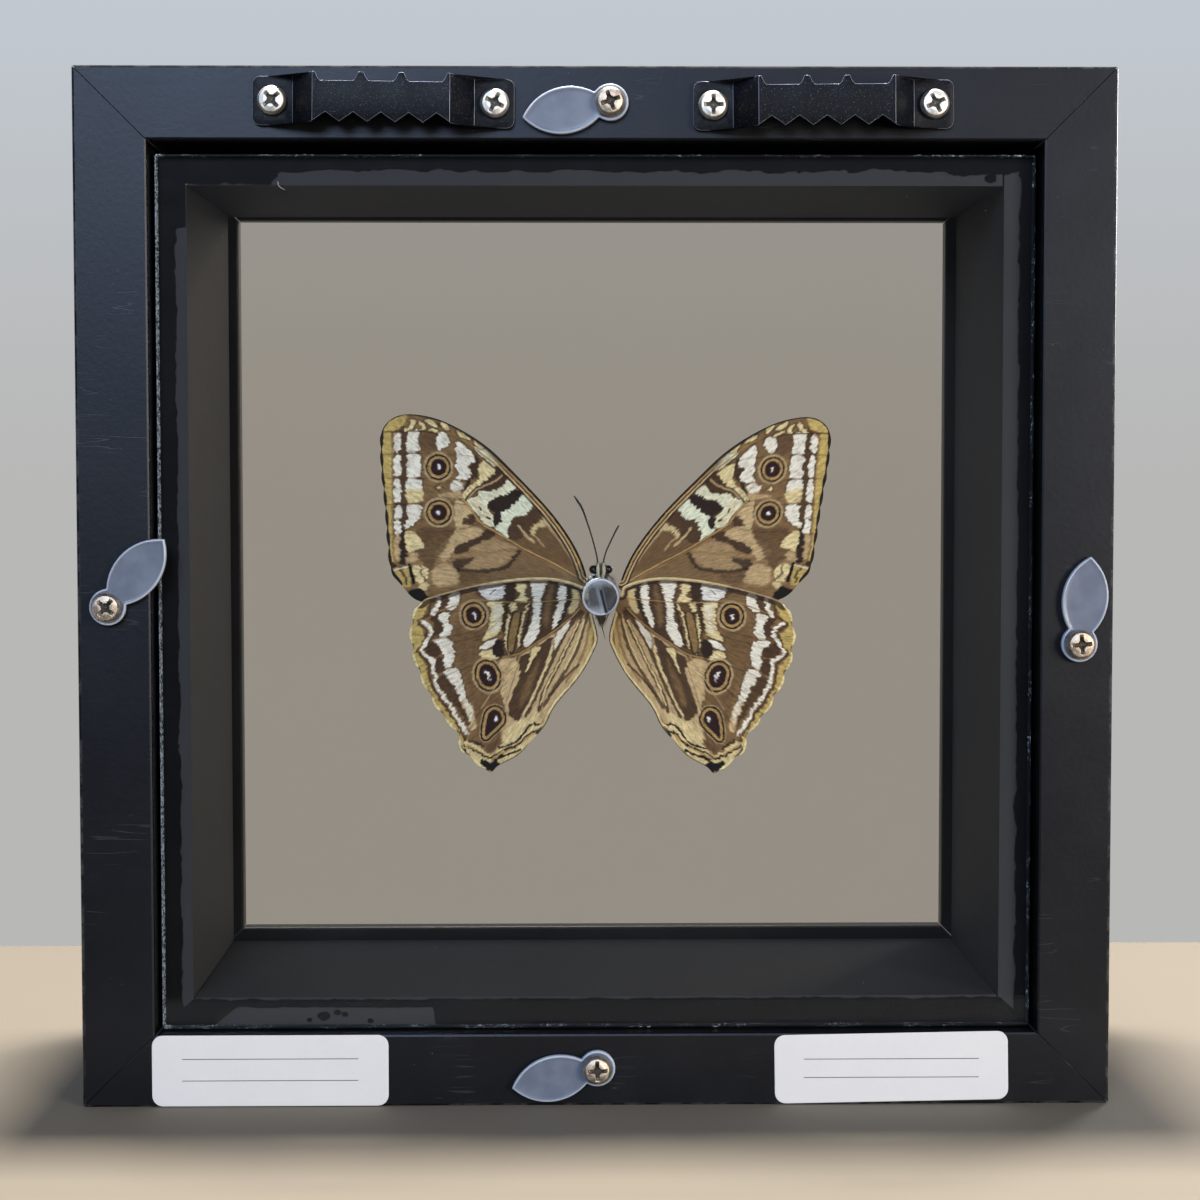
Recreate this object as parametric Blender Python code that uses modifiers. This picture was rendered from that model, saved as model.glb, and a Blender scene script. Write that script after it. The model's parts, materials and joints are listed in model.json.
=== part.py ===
"""Framed butterfly specimen: a double-glass shadow box, its back towards -Y, its display side towards +Y.

Metres, +Z up. The origin is the centre of the frame's bottom face, on which it stands.
Everything is set out from the frame's outer size, its depth and the thickness of the parts in its rebate.
"""

import math

import bmesh
import bpy
from mathutils import Matrix, Vector

# Frame: four mitred rails of one L-shaped section.
WIDTH = 0.193
HEIGHT = 0.1938
DEPTH = 0.070
REAR_Y = -DEPTH / 2
FRONT_Y = DEPTH / 2
RAIL_FACE = 0.0137
LIP_WIDTH = 0.0218
LIP_THICK = 0.0042
RAIL_EDGE = 0.0005
MITRE_GAP = 0.00015
MITRE_CUT = (0.10, 2 * DEPTH, 0.20)
GAP = 0.0003

# Sealed unit in the rebate: rear pane, deep black inner box, front pane.
GLASS_SIZE = 0.164
GLASS_THICK = 0.0022
GLASS_RECESS = 0.0035
GLASS_Z = RAIL_FACE + GAP
GLASS_EDGE = 0.0003
BOARD_THICK = 0.0055
BOARD_DEPTH = DEPTH - LIP_THICK - GLASS_RECESS - 2 * GLASS_THICK - 3 * GAP
BOARD_REAR_Y = REAR_Y + GLASS_RECESS + GLASS_THICK + GAP

# Screws, all alike but for the turn of their cross recess.
HEAD_R = 0.0027
HEAD_H = 0.0019
SHANK_R = 0.0013
SHANK_LENGTH = 0.0100
POINT_LENGTH = 0.0015
PILOT_R = SHANK_R + GAP
RECESS_SPAN = 0.0031
RECESS_SLOT = 0.00065
RECESS_DEEP = 0.0011

# Sawtooth hangers: a bent strip with V teeth below and three shallow recesses above.
HANGER_LENGTH = 0.048
HANGER_HEIGHT = 0.0089
HANGER_THICK = 0.0010
HANGER_TAB = 0.0068
HANGER_BRIDGE = 0.0260
HANGER_RISE = 0.0064
HANGER_CORNER = 0.0014
HANGER_BLANK = 1.2 * HANGER_HEIGHT
HANGER_CUT = 4 * HANGER_RISE
TOOTH_COUNT = 5
TOOTH_PITCH = 0.00505
TOOTH_DEEP = 0.00175
TOP_RECESSES = ((-0.0115, -0.0046), (-0.0027, 0.0027), (0.0046, 0.0115))
TOP_RECESS_DEEP = 0.0016
RECESS_SLOPE = 0.0005
TAB_SCREW_X = 0.0204
HANGERS = {
    "left": {"x": -0.0391, "z": 0.18685, "turn_deg": -0.7},
    "right": {"x": 0.0418, "z": 0.18645, "turn_deg": 0.5},
}

# Turn buttons: a pointed leaf with a round lobe about the screw.
BUTTON_REACH = 0.0164
BUTTON_LOBE_R = 0.0034
BUTTON_HALF_WIDTH = 0.0043
BUTTON_LEAF_START = 0.0003
BUTTON_THICK = 0.0016
BUTTON_EDGE = 0.0003
LOBE_SHIFT = (-0.0002, 0.0003)
LOBE_CLEAR = 1.06
LOBE_JOIN_DEG = 4
BUTTONS = {
    "top": {"x": 0.0025, "z": 0.1869, "point_deg": 190.0, "slot_deg": 20},
    "left": {"x": -0.0906, "z": 0.0941, "point_deg": 50.0, "slot_deg": 50},
    "right": {"x": 0.0899, "z": 0.0870, "point_deg": 83.0, "slot_deg": 5},
    "bottom": {"x": 0.0, "z": 0.0074, "point_deg": 193.0, "slot_deg": 2},
}

# Paper labels on the bottom rail.
LABEL_THICK = 0.0002
LABEL_CORNER = 0.0020
LABELS = {
    "left": {"x": -0.0613, "z": 0.0069, "size": (0.0443, 0.0134), "turn_deg": 0.0},
    "right": {"x": 0.0554, "z": 0.0071, "size": (0.0440, 0.0130), "turn_deg": 0.9},
}

# Butterfly, spread upright, underside towards the rear pane.
SPECIMEN_X = 0.0018
SPECIMEN_Z = 0.0955
WING_THICK = 0.0004
WING_RISE_DEG = 7
HINDWING_Y = -0.0010
FOREWING_Y = -0.0002
# Body parts, grown together: (x, y, height over the specimen's centre) and the three radii.
BODY = {
    "butterfly_body": ((0.0015, -0.0028, -0.0004), (0.0027, 0.0026, 0.0042)),
    "head": ((0.0011, -0.0030, 0.0041), (0.0024, 0.0019, 0.0016)),
    "abdomen_stub": ((0.0015, -0.0024, -0.0044), (0.0009, 0.0011, 0.0021)),
}
POST_R = 0.0035
POST_X = 0.0008
POST_Z = 0.0955
POST_END_Y = -0.0057

# Wing outlines of the left side, in (outward, up) from the specimen's centre.
FOREWING = (
    (0.0035, 0.0030), (0.0058, 0.0087), (0.0104, 0.0153), (0.0170, 0.0224), (0.0237, 0.0288),
    (0.0311, 0.0332), (0.0370, 0.0350), (0.0418, 0.0348), (0.0448, 0.0320), (0.0452, 0.0265),
    (0.0444, 0.0170), (0.0438, 0.0090), (0.0432, 0.0038), (0.0412, 0.0010), (0.0370, -0.0026),
    (0.0250, -0.0038), (0.0120, -0.0030), (0.0038, 0.0004),
)  # fmt: skip
HINDWING = (
    (0.0035, -0.0010), (0.0046, 0.0009), (0.0106, 0.0024), (0.0180, 0.0022), (0.0258, 0.0009),
    (0.0342, -0.0013), (0.0370, -0.0027), (0.0390, -0.0065), (0.0390, -0.0115), (0.0380, -0.0155),
    (0.0358, -0.0205), (0.0328, -0.0255), (0.0300, -0.0288), (0.0288, -0.0326), (0.0261, -0.0347),
    (0.0231, -0.0368), (0.0213, -0.0355), (0.0173, -0.0333), (0.0145, -0.0303), (0.0119, -0.0273),
    (0.0098, -0.0233), (0.0049, -0.0174), (0.0019, -0.0121), (0.0012, -0.0093), (0.0022, -0.0050),
)  # fmt: skip
# How a right wing differs from its mirrored left one: (stretch and lean) rows, then a shift up.
RIGHT_FOREWING = ((0.973, 0.077), (0.029, 0.973), -0.0008)
RIGHT_HINDWING = ((0.994, 0.007), (-0.018, 1.004), 0.0002)

# Antennae, as (x, y, z) from the specimen's centre line.
ANTENNA_R = 0.00022
ANTENNAE = {
    "left": (
        (-0.0010, -0.0027, 0.0060), (-0.0019, -0.0023, 0.0088), (-0.0026, -0.0020, 0.0116),
        (-0.0035, -0.0016, 0.0142), (-0.0043, -0.0012, 0.0164), (-0.0059, -0.0006, 0.0188),
    ),
    "right": ((-0.0001, -0.0027, 0.0060), (0.0012, -0.0012, 0.0092), (0.0030, 0.0008, 0.0128)),
}

# From an outline's own plane to the frame: seen from behind, and as a section along X.
SEEN_FROM_BEHIND = Matrix(((1, 0, 0, 0), (0, 0, -1, 0), (0, 1, 0, 0), (0, 0, 0, 1)))
ALONG_X = Matrix(((0, 0, 1, 0), (1, 0, 0, 0), (0, 1, 0, 0), (0, 0, 0, 1)))
TOWARDS_REAR = Matrix.Rotation(math.radians(90), 4, "X")
# Edges sharper than this stay creased in shading.
CREASE = math.radians(35)


def clear_scene():
    for old in list(bpy.data.objects):
        bpy.data.objects.remove(old, do_unlink=True)


def collection(name):
    made = bpy.data.collections.new(name)
    bpy.context.scene.collection.children.link(made)
    return made


def material(name, colour, roughness, metallic=0.0, transmission=0.0, ior=1.45):
    made = bpy.data.materials.new(name)
    made.use_nodes = True
    shader = made.node_tree.nodes["Principled BSDF"]
    shader.inputs["Base Color"].default_value = (*colour, 1)
    shader.inputs["Roughness"].default_value = roughness
    shader.inputs["Metallic"].default_value = metallic
    shader.inputs["Transmission Weight"].default_value = transmission
    shader.inputs["IOR"].default_value = ior
    made.diffuse_color = (*colour, 1)
    return made


def add(name, mesh, look=None, location=(0, 0, 0)):
    """A new object, among the parts if it has a look and among the cutters if not."""
    made = bpy.data.objects.new(name, mesh)
    made.location = location
    if look:
        mesh.materials.append(look)
        PARTS.objects.link(made)
    else:
        CUTTERS.objects.link(made)
        made.hide_render = True
        made.display_type = "WIRE"
    return made


def box(name, low, high, look=None):
    """A box between two corners, with its origin at its centre."""
    centre = [(a + b) / 2 for a, b in zip(low, high)]
    size = Matrix.Diagonal([b - a for a, b in zip(low, high)] + [1])
    form = bmesh.new()
    bmesh.ops.create_cube(form, size=1, matrix=size)
    mesh = bpy.data.meshes.new(name)
    form.to_mesh(mesh)
    form.free()
    return add(name, mesh, look, centre)


def cylinder(name, radius, length, look=None, segments=24, location=(0, 0, 0)):
    """A cylinder along Y, centred on its location."""
    form = bmesh.new()
    ends = {"radius1": radius, "radius2": radius, "depth": length}
    bmesh.ops.create_cone(form, cap_ends=True, segments=segments, matrix=TOWARDS_REAR, **ends)
    mesh = bpy.data.meshes.new(name)
    form.to_mesh(mesh)
    form.free()
    mesh.shade_smooth()
    mesh.set_sharp_from_angle(angle=CREASE)
    return add(name, mesh, look, location)


def outline_solid(name, outlines, thickness, turn, look=None, location=(0, 0, 0)):
    """A flat outline, with holes if more are given, made thick and turned into the frame's axes."""
    curve = bpy.data.curves.new(name, "CURVE")
    curve.dimensions = "2D"
    curve.fill_mode = "BOTH"
    curve.extrude = thickness / 2
    for outline in outlines:
        spline = curve.splines.new("POLY")
        spline.points.add(len(outline) - 1)
        for point, (x, y) in zip(spline.points, outline):
            point.co = (x, y, 0, 1)
        spline.use_cyclic_u = True
    drawn = bpy.data.objects.new(name + "_outline", curve)
    CUTTERS.objects.link(drawn)
    bpy.context.view_layer.update()
    mesh = bpy.data.meshes.new_from_object(drawn.evaluated_get(bpy.context.evaluated_depsgraph_get()))
    bpy.data.objects.remove(drawn, do_unlink=True)
    bpy.data.curves.remove(curve)
    form = bmesh.new()
    form.from_mesh(mesh)
    bmesh.ops.remove_doubles(form, verts=form.verts, dist=0.000001)
    bmesh.ops.transform(form, matrix=turn, verts=form.verts)
    bmesh.ops.recalc_face_normals(form, faces=form.faces)
    form.to_mesh(mesh)
    form.free()
    mesh.name = name
    mesh.shade_smooth()
    mesh.set_sharp_from_angle(angle=CREASE)
    return add(name, mesh, look, location)


def boolean(target, cutter, operation="DIFFERENCE"):
    cut = target.modifiers.new(cutter.name, "BOOLEAN")
    cut.operation = operation
    cut.object = cutter


def bevel(target, width, segments=2, angle_deg=30):
    rounded = target.modifiers.new("edges", "BEVEL")
    rounded.width = width
    rounded.segments = segments
    rounded.limit_method = "ANGLE"
    rounded.angle_limit = math.radians(angle_deg)


def arc(centre, radius, start_deg, end_deg, steps):
    """Points along an arc, both ends included."""
    turns = [math.radians(start_deg + (end_deg - start_deg) * i / steps) for i in range(steps + 1)]
    return [(centre[0] + radius * math.cos(t), centre[1] + radius * math.sin(t)) for t in turns]


def circle(centre, radius, steps):
    return arc(centre, radius, 0, 360, steps)[:-1]


def rounded_rectangle(width, height, radius, steps=4):
    across, up = width / 2 - radius, height / 2 - radius
    points = []
    for x, y, start in ((across, up, 0), (-across, up, 90), (-across, -up, 180), (across, -up, 270)):
        points += arc((x, y), radius, start, start + 90, steps)
    return points


def smooth_loop(points, steps):
    """A closed Catmull-Rom curve through the points, with this many pieces between two of them."""
    ring = [Vector(p) for p in points]
    smooth = []
    for i, here in enumerate(ring):
        before, after, beyond = ring[i - 1], ring[(i + 1) % len(ring)], ring[(i + 2) % len(ring)]
        for k in range(steps):
            t = k / steps
            slope_in, slope_out = (after - before) / 2, (beyond - here) / 2
            smooth.append(
                here * (2 * t**3 - 3 * t**2 + 1)
                + slope_in * (t**3 - 2 * t**2 + t)
                + after * (3 * t**2 - 2 * t**3)
                + slope_out * (t**3 - t**2)
            )
    return smooth


def screw_places():
    """Each screw's name, place on the rear face, height of its seat over that face and recess turn."""
    number = 0
    for side, hanger in HANGERS.items():
        turn = math.radians(hanger["turn_deg"])
        for along in (-TAB_SCREW_X, TAB_SCREW_X):
            number += 1
            x = hanger["x"] + along * math.cos(turn)
            z = hanger["z"] + along * math.sin(turn)
            yield f"hanger_screw_{number}", x, z, GAP + HANGER_THICK, 15 + 25 * number
    for side, button in BUTTONS.items():
        yield f"button_screw_{side}", button["x"], button["z"], GAP + BUTTON_THICK, button["slot_deg"]


def rails(wood):
    """Four L-section rails: each is cut to a mitre at both ends and drilled for its screws."""
    section = (
        (REAR_Y, 0), (FRONT_Y, 0), (FRONT_Y, LIP_WIDTH), (FRONT_Y - LIP_THICK, LIP_WIDTH),
        (FRONT_Y - LIP_THICK, RAIL_FACE), (REAR_Y, RAIL_FACE),
    )  # fmt: skip
    sides = {
        "bottom": (WIDTH, (0, 0, 0), 0),
        "top": (WIDTH, (0, 0, HEIGHT), 180),
        "left": (HEIGHT, (-WIDTH / 2, 0, HEIGHT / 2), 90),
        "right": (HEIGHT, (WIDTH / 2, 0, HEIGHT / 2), -90),
    }
    pilots = {}
    for name, x, z, seat, _ in screw_places():
        place = (x, REAR_Y, z)
        hole = cylinder("pilot_for_" + name, PILOT_R, 2 * SHANK_LENGTH, segments=12, location=place)
        nearest = {"top": HEIGHT - z, "bottom": z, "left": x + WIDTH / 2, "right": WIDTH / 2 - x}
        pilots.setdefault(min(nearest, key=nearest.get), []).append(hole)
    for side, (length, place, turn_deg) in sides.items():
        rail = outline_solid("rail_" + side, [section], length, ALONG_X, wood)
        rail.location = place
        rail.rotation_euler.y = math.radians(turn_deg)
        bevel(rail, RAIL_EDGE)
        for end in (-1, 1):
            half = [size / 2 for size in MITRE_CUT]
            mitre = box(f"mitre_{side}_{end}", [-size for size in half], half)
            mitre.parent = rail
            mitre.rotation_euler.y = math.radians(-45 * end)
            out = (MITRE_CUT[0] - MITRE_GAP) / 2 * math.sqrt(0.5)
            mitre.location = (end * (length / 2 + out), 0, out)
            boolean(rail, mitre)
        for hole in pilots.get(side, []):
            boolean(rail, hole)


def panes(glass):
    """Rear and front glass, plain squares with ground edges."""
    lows = {"rear_glass": REAR_Y + GLASS_RECESS, "front_glass": FRONT_Y - LIP_THICK - GAP - GLASS_THICK}
    for name, low_y in lows.items():
        low = (-GLASS_SIZE / 2, low_y, GLASS_Z)
        high = (GLASS_SIZE / 2, low_y + GLASS_THICK, GLASS_Z + GLASS_SIZE)
        bevel(box(name, low, high, glass), GLASS_EDGE, 1)


def inner_box(board):
    """Four boards between the panes: the sides run the full height, the others fit between them."""
    half = GLASS_SIZE / 2
    inner = half - BOARD_THICK
    top = GLASS_Z + GLASS_SIZE
    rear, front = BOARD_REAR_Y, BOARD_REAR_Y + BOARD_DEPTH
    places = {
        "left": ((-half, GLASS_Z), (-inner, top)),
        "right": ((inner, GLASS_Z), (half, top)),
        "bottom": ((-inner + GAP, GLASS_Z), (inner - GAP, GLASS_Z + BOARD_THICK)),
        "top": ((-inner + GAP, top - BOARD_THICK), (inner - GAP, top)),
    }
    for side, (low, high) in places.items():
        box("spacer_" + side, (low[0], rear, low[1]), (high[0], front, high[1]), board)


def hanger_outline():
    """The strip seen from behind: round tab corners, V teeth below, sloped recesses above."""
    half, up, corner = HANGER_LENGTH / 2, HANGER_HEIGHT / 2, HANGER_CORNER
    teeth = []
    for i in range(TOOTH_COUNT):
        x = (i - (TOOTH_COUNT - 1) / 2) * TOOTH_PITCH
        teeth += [(x - TOOTH_PITCH / 2, -up), (x, -up + TOOTH_DEEP)]
    teeth.append((TOOTH_COUNT * TOOTH_PITCH / 2, -up))
    recesses = []
    for left, right in reversed(TOP_RECESSES):
        floor = up - TOP_RECESS_DEEP
        slope = RECESS_SLOPE
        recesses += [(right + slope, up), (right, floor + slope), (right - slope, floor)]
        recesses += [(left + slope, floor), (left, floor + slope), (left - slope, up)]
    return (
        arc((-half + corner, -up + corner), corner, 180, 270, 4)
        + teeth
        + arc((half - corner, -up + corner), corner, 270, 360, 4)
        + arc((half - corner, up - corner), corner, 0, 90, 4)
        + recesses
        + arc((-half + corner, up - corner), corner, 90, 180, 4)
    )


def hanger_section():
    """The strip seen from above: two tabs, two ramps and the raised bridge, as (along, out)."""
    end, tab, bridge = HANGER_LENGTH / 2, HANGER_LENGTH / 2 - HANGER_TAB, HANGER_BRIDGE / 2
    ramp = math.atan2(HANGER_RISE, tab - bridge)
    shift = HANGER_THICK * math.tan(ramp / 2)
    inner = [(-end, 0), (-tab, 0), (-bridge, -HANGER_RISE), (bridge, -HANGER_RISE), (tab, 0), (end, 0)]
    thick = HANGER_THICK
    outer = [
        (end, -thick), (tab - shift, -thick), (bridge - shift, -HANGER_RISE - thick),
        (-bridge + shift, -HANGER_RISE - thick), (-tab + shift, -thick), (-end, -thick),
    ]  # fmt: skip
    return inner + outer


def hangers(steel):
    """Each hanger is its bent section, as tall as the strip, kept only inside its outline."""
    holes = [circle((x, 0), PILOT_R, 16) for x in (-TAB_SCREW_X, TAB_SCREW_X)]
    for side, place in HANGERS.items():
        where = (place["x"], REAR_Y - GAP, place["z"])
        turn = -math.radians(place["turn_deg"])
        name = "hanger_" + side
        strip = outline_solid(name, [hanger_section()], HANGER_BLANK, Matrix(), steel, where)
        outlines = [hanger_outline()] + holes
        shape = outline_solid(name + "_outline", outlines, HANGER_CUT, SEEN_FROM_BEHIND, None, where)
        strip.rotation_euler.y = turn
        shape.rotation_euler.y = turn
        boolean(strip, shape, "INTERSECT")


def screw_mesh():
    """Pan head, shank and point, turned about Z, head up, with its seat at zero."""
    profile = [
        (0, HEAD_H), (0.45 * HEAD_R, 0.96 * HEAD_H), (0.78 * HEAD_R, 0.80 * HEAD_H),
        (0.95 * HEAD_R, 0.52 * HEAD_H), (HEAD_R, 0.22 * HEAD_H), (0.98 * HEAD_R, 0), (SHANK_R, 0),
        (SHANK_R, POINT_LENGTH - SHANK_LENGTH), (0, -SHANK_LENGTH),
    ]  # fmt: skip
    mesh = bpy.data.meshes.new("screw_profile")
    mesh.from_pydata([(r, 0, z) for r, z in profile], [(i, i + 1) for i in range(len(profile) - 1)], [])
    return mesh


def screws(metal):
    """Pan-head screws: a turned profile with a cross recess cut by two crossing blades."""
    for name, x, z, seat, slot_deg in screw_places():
        screw = add(name, screw_mesh(), metal, (x, REAR_Y - seat - GAP, z))
        screw.rotation_euler.x = math.radians(90)
        turned = screw.modifiers.new("turned", "SCREW")
        turned.steps = 20
        turned.render_steps = 20
        turned.use_merge_vertices = True
        turned.merge_threshold = 0.00001
        turned.use_smooth_shade = True
        for turn_deg in (slot_deg, slot_deg + 90):
            low = (-RECESS_SPAN / 2, -RECESS_SLOT / 2, HEAD_H - RECESS_DEEP)
            high = (RECESS_SPAN / 2, RECESS_SLOT / 2, HEAD_H + RECESS_DEEP)
            blade = box(f"slot_{turn_deg}_of_{name}", low, high)
            blade.parent = screw
            blade.rotation_euler.z = math.radians(turn_deg)
            boolean(screw, blade)


def button_outline():
    """A circle about the screw, joined to a leaf between two equal arcs that meet at its point."""
    chord = BUTTON_REACH - BUTTON_LEAF_START
    middle = BUTTON_LEAF_START + chord / 2
    radius = (chord**2 / 4 + BUTTON_HALF_WIDTH**2) / (2 * BUTTON_HALF_WIDTH)
    sink = radius - BUTTON_HALF_WIDTH
    spread = math.degrees(math.asin(chord / 2 / radius))
    upper = arc((middle, -sink), radius, 90 - spread, 90 + spread, 16)
    clear = BUTTON_LOBE_R * LOBE_CLEAR
    outside = [p for p in upper if math.dist(p, LOBE_SHIFT) > clear]
    lower = [(x, -y) for x, y in reversed(outside)][:-1]
    lower = [p for p in lower if math.dist(p, LOBE_SHIFT) > clear]
    start = math.degrees(math.atan2(outside[-1][1] - LOBE_SHIFT[1], outside[-1][0] - LOBE_SHIFT[0]))
    end = 360 + math.degrees(math.atan2(lower[0][1] - LOBE_SHIFT[1], lower[0][0] - LOBE_SHIFT[0]))
    round_lobe = arc(LOBE_SHIFT, BUTTON_LOBE_R, start + LOBE_JOIN_DEG, end - LOBE_JOIN_DEG, 18)
    return outside + round_lobe + lower


def turn_buttons(plastic):
    """Each button's origin is on its screw's axis, about which it swivels."""
    for side, place in BUTTONS.items():
        where = (place["x"], REAR_Y - GAP - BUTTON_THICK / 2, place["z"])
        outlines = [button_outline(), circle((0, 0), PILOT_R, 16)]
        name = "turn_button_" + side
        button = outline_solid(name, outlines, BUTTON_THICK, SEEN_FROM_BEHIND, plastic, where)
        button.rotation_euler.y = -math.radians(place["point_deg"])
        bevel(button, BUTTON_EDGE, 2, 60)


def labels(paper):
    for side, place in LABELS.items():
        where = (place["x"], REAR_Y - GAP - LABEL_THICK / 2, place["z"])
        outline = rounded_rectangle(*place["size"], LABEL_CORNER)
        label = outline_solid("label_" + side, [outline], LABEL_THICK, SEEN_FROM_BEHIND, paper, where)
        label.rotation_euler.y = -math.radians(place["turn_deg"])


def wing(name, outline, side, y, look):
    """A thin wing, risen towards the display side about the specimen's upright middle line."""
    points = [(side * u, v) for u, v in outline]
    where = (SPECIMEN_X, y, SPECIMEN_Z)
    made = outline_solid(name, [smooth_loop(points, 2)], WING_THICK, SEEN_FROM_BEHIND, look, where)
    made.rotation_euler.z = side * math.radians(WING_RISE_DEG)


def leaned(outline, change):
    (uu, uv), (vu, vv), up = change
    return [(uu * u + uv * v, vu * u + vv * v + up) for u, v in outline]


def wings(look):
    wing("forewing_left", FOREWING, -1, FOREWING_Y, look)
    wing("forewing_right", leaned(FOREWING, RIGHT_FOREWING), 1, FOREWING_Y, look)
    wing("hindwing_left", HINDWING, -1, HINDWING_Y, look)
    wing("hindwing_right", leaned(HINDWING, RIGHT_HINDWING), 1, HINDWING_Y, look)


def ellipsoid(name, centre, radii, look=None):
    form = bmesh.new()
    stretch = Matrix.Diagonal((*radii, 1))
    bmesh.ops.create_uvsphere(form, u_segments=16, v_segments=10, radius=1, matrix=stretch)
    mesh = bpy.data.meshes.new(name)
    form.to_mesh(mesh)
    form.free()
    mesh.shade_smooth()
    return add(name, mesh, look, centre)


def body(look):
    """Thorax, head and the short stub that is left of the abdomen, grown together."""
    looks = {"butterfly_body": look}
    made = {}
    for name, ((x, y, up), radii) in BODY.items():
        made[name] = ellipsoid(name, (x, y, SPECIMEN_Z + up), radii, looks.get(name))
    for name in ("head", "abdomen_stub"):
        boolean(made["butterfly_body"], made[name], "UNION")


def antennae(look):
    """Fine tubes from the head: a smooth run through each antenna's own points."""
    for side, route in ANTENNAE.items():
        centre = Vector((SPECIMEN_X, 0, SPECIMEN_Z))
        curve = bpy.data.curves.new("antenna_" + side, "CURVE")
        curve.dimensions = "3D"
        curve.bevel_depth = ANTENNA_R
        curve.bevel_resolution = 1
        curve.use_fill_caps = True
        spline = curve.splines.new("POLY")
        spline.points.add(len(route) - 1)
        for point, place in zip(spline.points, route):
            point.co = (*(centre + Vector(place)), 1)
        curve.materials.append(look)
        made = bpy.data.objects.new("antenna_" + side, curve)
        PARTS.objects.link(made)


def post(acrylic):
    """A clear rod glued to the rear pane that carries the butterfly by its thorax."""
    start = BOARD_REAR_Y
    middle = (start + POST_END_Y) / 2
    rod = cylinder("acrylic_post", POST_R, POST_END_Y - start, acrylic, 32, (POST_X, middle, POST_Z))
    bevel(rod, 0.0003, 2, 60)


clear_scene()
PARTS = collection("framed_butterfly")
CUTTERS = collection("cutters")
rails(material("black_paint", (0.012, 0.013, 0.016), 0.45))
panes(material("clear_glass", (0.95, 0.98, 0.97), 0.02, transmission=1.0, ior=1.52))
inner_box(material("black_board", (0.016, 0.016, 0.017), 0.75))
hangers(material("blackened_steel", (0.02, 0.02, 0.022), 0.38, metallic=0.8))
turn_buttons(material("frosted_plastic", (0.55, 0.60, 0.68), 0.35, transmission=0.5))
screws(material("nickel_plate", (0.66, 0.62, 0.55), 0.28, metallic=1.0))
labels(material("white_paper", (0.90, 0.90, 0.91), 0.6))
post(material("clear_acrylic", (1.0, 1.0, 1.0), 0.03, transmission=1.0, ior=1.49))
wings(material("wing_scales", (0.36, 0.25, 0.14), 0.7))
body(material("body_hair", (0.10, 0.07, 0.045), 0.85))
antennae(material("antenna_black", (0.02, 0.015, 0.012), 0.5))
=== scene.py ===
"""Looks of the framed butterfly specimen: paint, glass, hardware, labels and the spread butterfly.

New pieces are surfaces worked out as whole arrays, in metres, in the frame of the solids: the back is
towards -Y and +Z is up. Wing patterns are laid out in millimetres, outward and up from the specimen's
centre, because a wing is set out in its own plane before it is turned into the box.
"""

import json
import math

import bmesh
import bpy
import numpy as np
from mathutils import Euler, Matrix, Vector

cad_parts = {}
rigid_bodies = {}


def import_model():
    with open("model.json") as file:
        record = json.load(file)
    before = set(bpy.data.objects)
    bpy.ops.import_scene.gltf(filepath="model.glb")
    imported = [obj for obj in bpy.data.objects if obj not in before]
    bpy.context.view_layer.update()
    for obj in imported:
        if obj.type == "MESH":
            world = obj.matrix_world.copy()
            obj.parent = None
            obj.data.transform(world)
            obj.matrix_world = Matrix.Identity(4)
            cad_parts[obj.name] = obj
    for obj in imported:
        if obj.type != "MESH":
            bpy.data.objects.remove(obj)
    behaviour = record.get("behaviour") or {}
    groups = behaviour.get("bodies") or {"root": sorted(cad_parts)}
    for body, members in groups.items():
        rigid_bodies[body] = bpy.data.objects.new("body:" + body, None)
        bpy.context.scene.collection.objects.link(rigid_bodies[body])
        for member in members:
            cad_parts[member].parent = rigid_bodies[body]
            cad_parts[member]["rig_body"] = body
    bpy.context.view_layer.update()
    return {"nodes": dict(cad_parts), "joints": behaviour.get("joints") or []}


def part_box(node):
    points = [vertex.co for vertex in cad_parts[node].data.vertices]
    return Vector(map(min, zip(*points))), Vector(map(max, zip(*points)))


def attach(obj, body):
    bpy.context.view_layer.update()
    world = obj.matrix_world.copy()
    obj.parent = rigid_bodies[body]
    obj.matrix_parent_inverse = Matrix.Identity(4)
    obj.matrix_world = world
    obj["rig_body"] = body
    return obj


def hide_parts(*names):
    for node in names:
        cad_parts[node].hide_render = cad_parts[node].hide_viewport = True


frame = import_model()
NODES = frame["nodes"]

MM = 0.001
LIFT = 0.03 * MM  # how far a thin piece lies off the face it is stuck to
REAR_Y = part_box("rail_top")[0].y
FRONT_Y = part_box("rail_top")[1].y
HALF_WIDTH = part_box("rail_top")[1].x
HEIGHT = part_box("rail_top")[1].z
GLASS_LOW, GLASS_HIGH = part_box("rear_glass")
GLASS_MIDDLE = (GLASS_LOW.z + GLASS_HIGH.z) / 2
GLASS_TALL = (GLASS_HIGH.z - GLASS_LOW.z) / MM
SPECIMEN = np.array([0.0018, 0.0, 0.0955])
WING_RISE = math.radians(7)
ROUND = 2 * math.pi

# ---------------------------------------------------------------- numbers, noise and curves


def smooth(low, high, x):
    """0 below low and 1 above high, with a cubic ease between them; low may be the larger."""
    t = np.clip((x - low) / (high - low), 0, 1)
    return t * t * (3 - 2 * t)


def noise(points, size, seed):
    """Soft value noise from 0 to 1: random values on a lattice of this size, eased between its corners."""
    table = np.random.default_rng(seed).random((256, 256))
    scaled = np.asarray(points, float)[..., :2] / size
    low = np.floor(scaled).astype(int)
    t = scaled - low
    t = t * t * (3 - 2 * t)
    i, j = low[..., 0] % 256, low[..., 1] % 256
    k, m = (i + 1) % 256, (j + 1) % 256
    near = table[i, j] * (1 - t[..., 0]) + table[k, j] * t[..., 0]
    far = table[i, m] * (1 - t[..., 0]) + table[k, m] * t[..., 0]
    return near * (1 - t[..., 1]) + far * t[..., 1]


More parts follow.
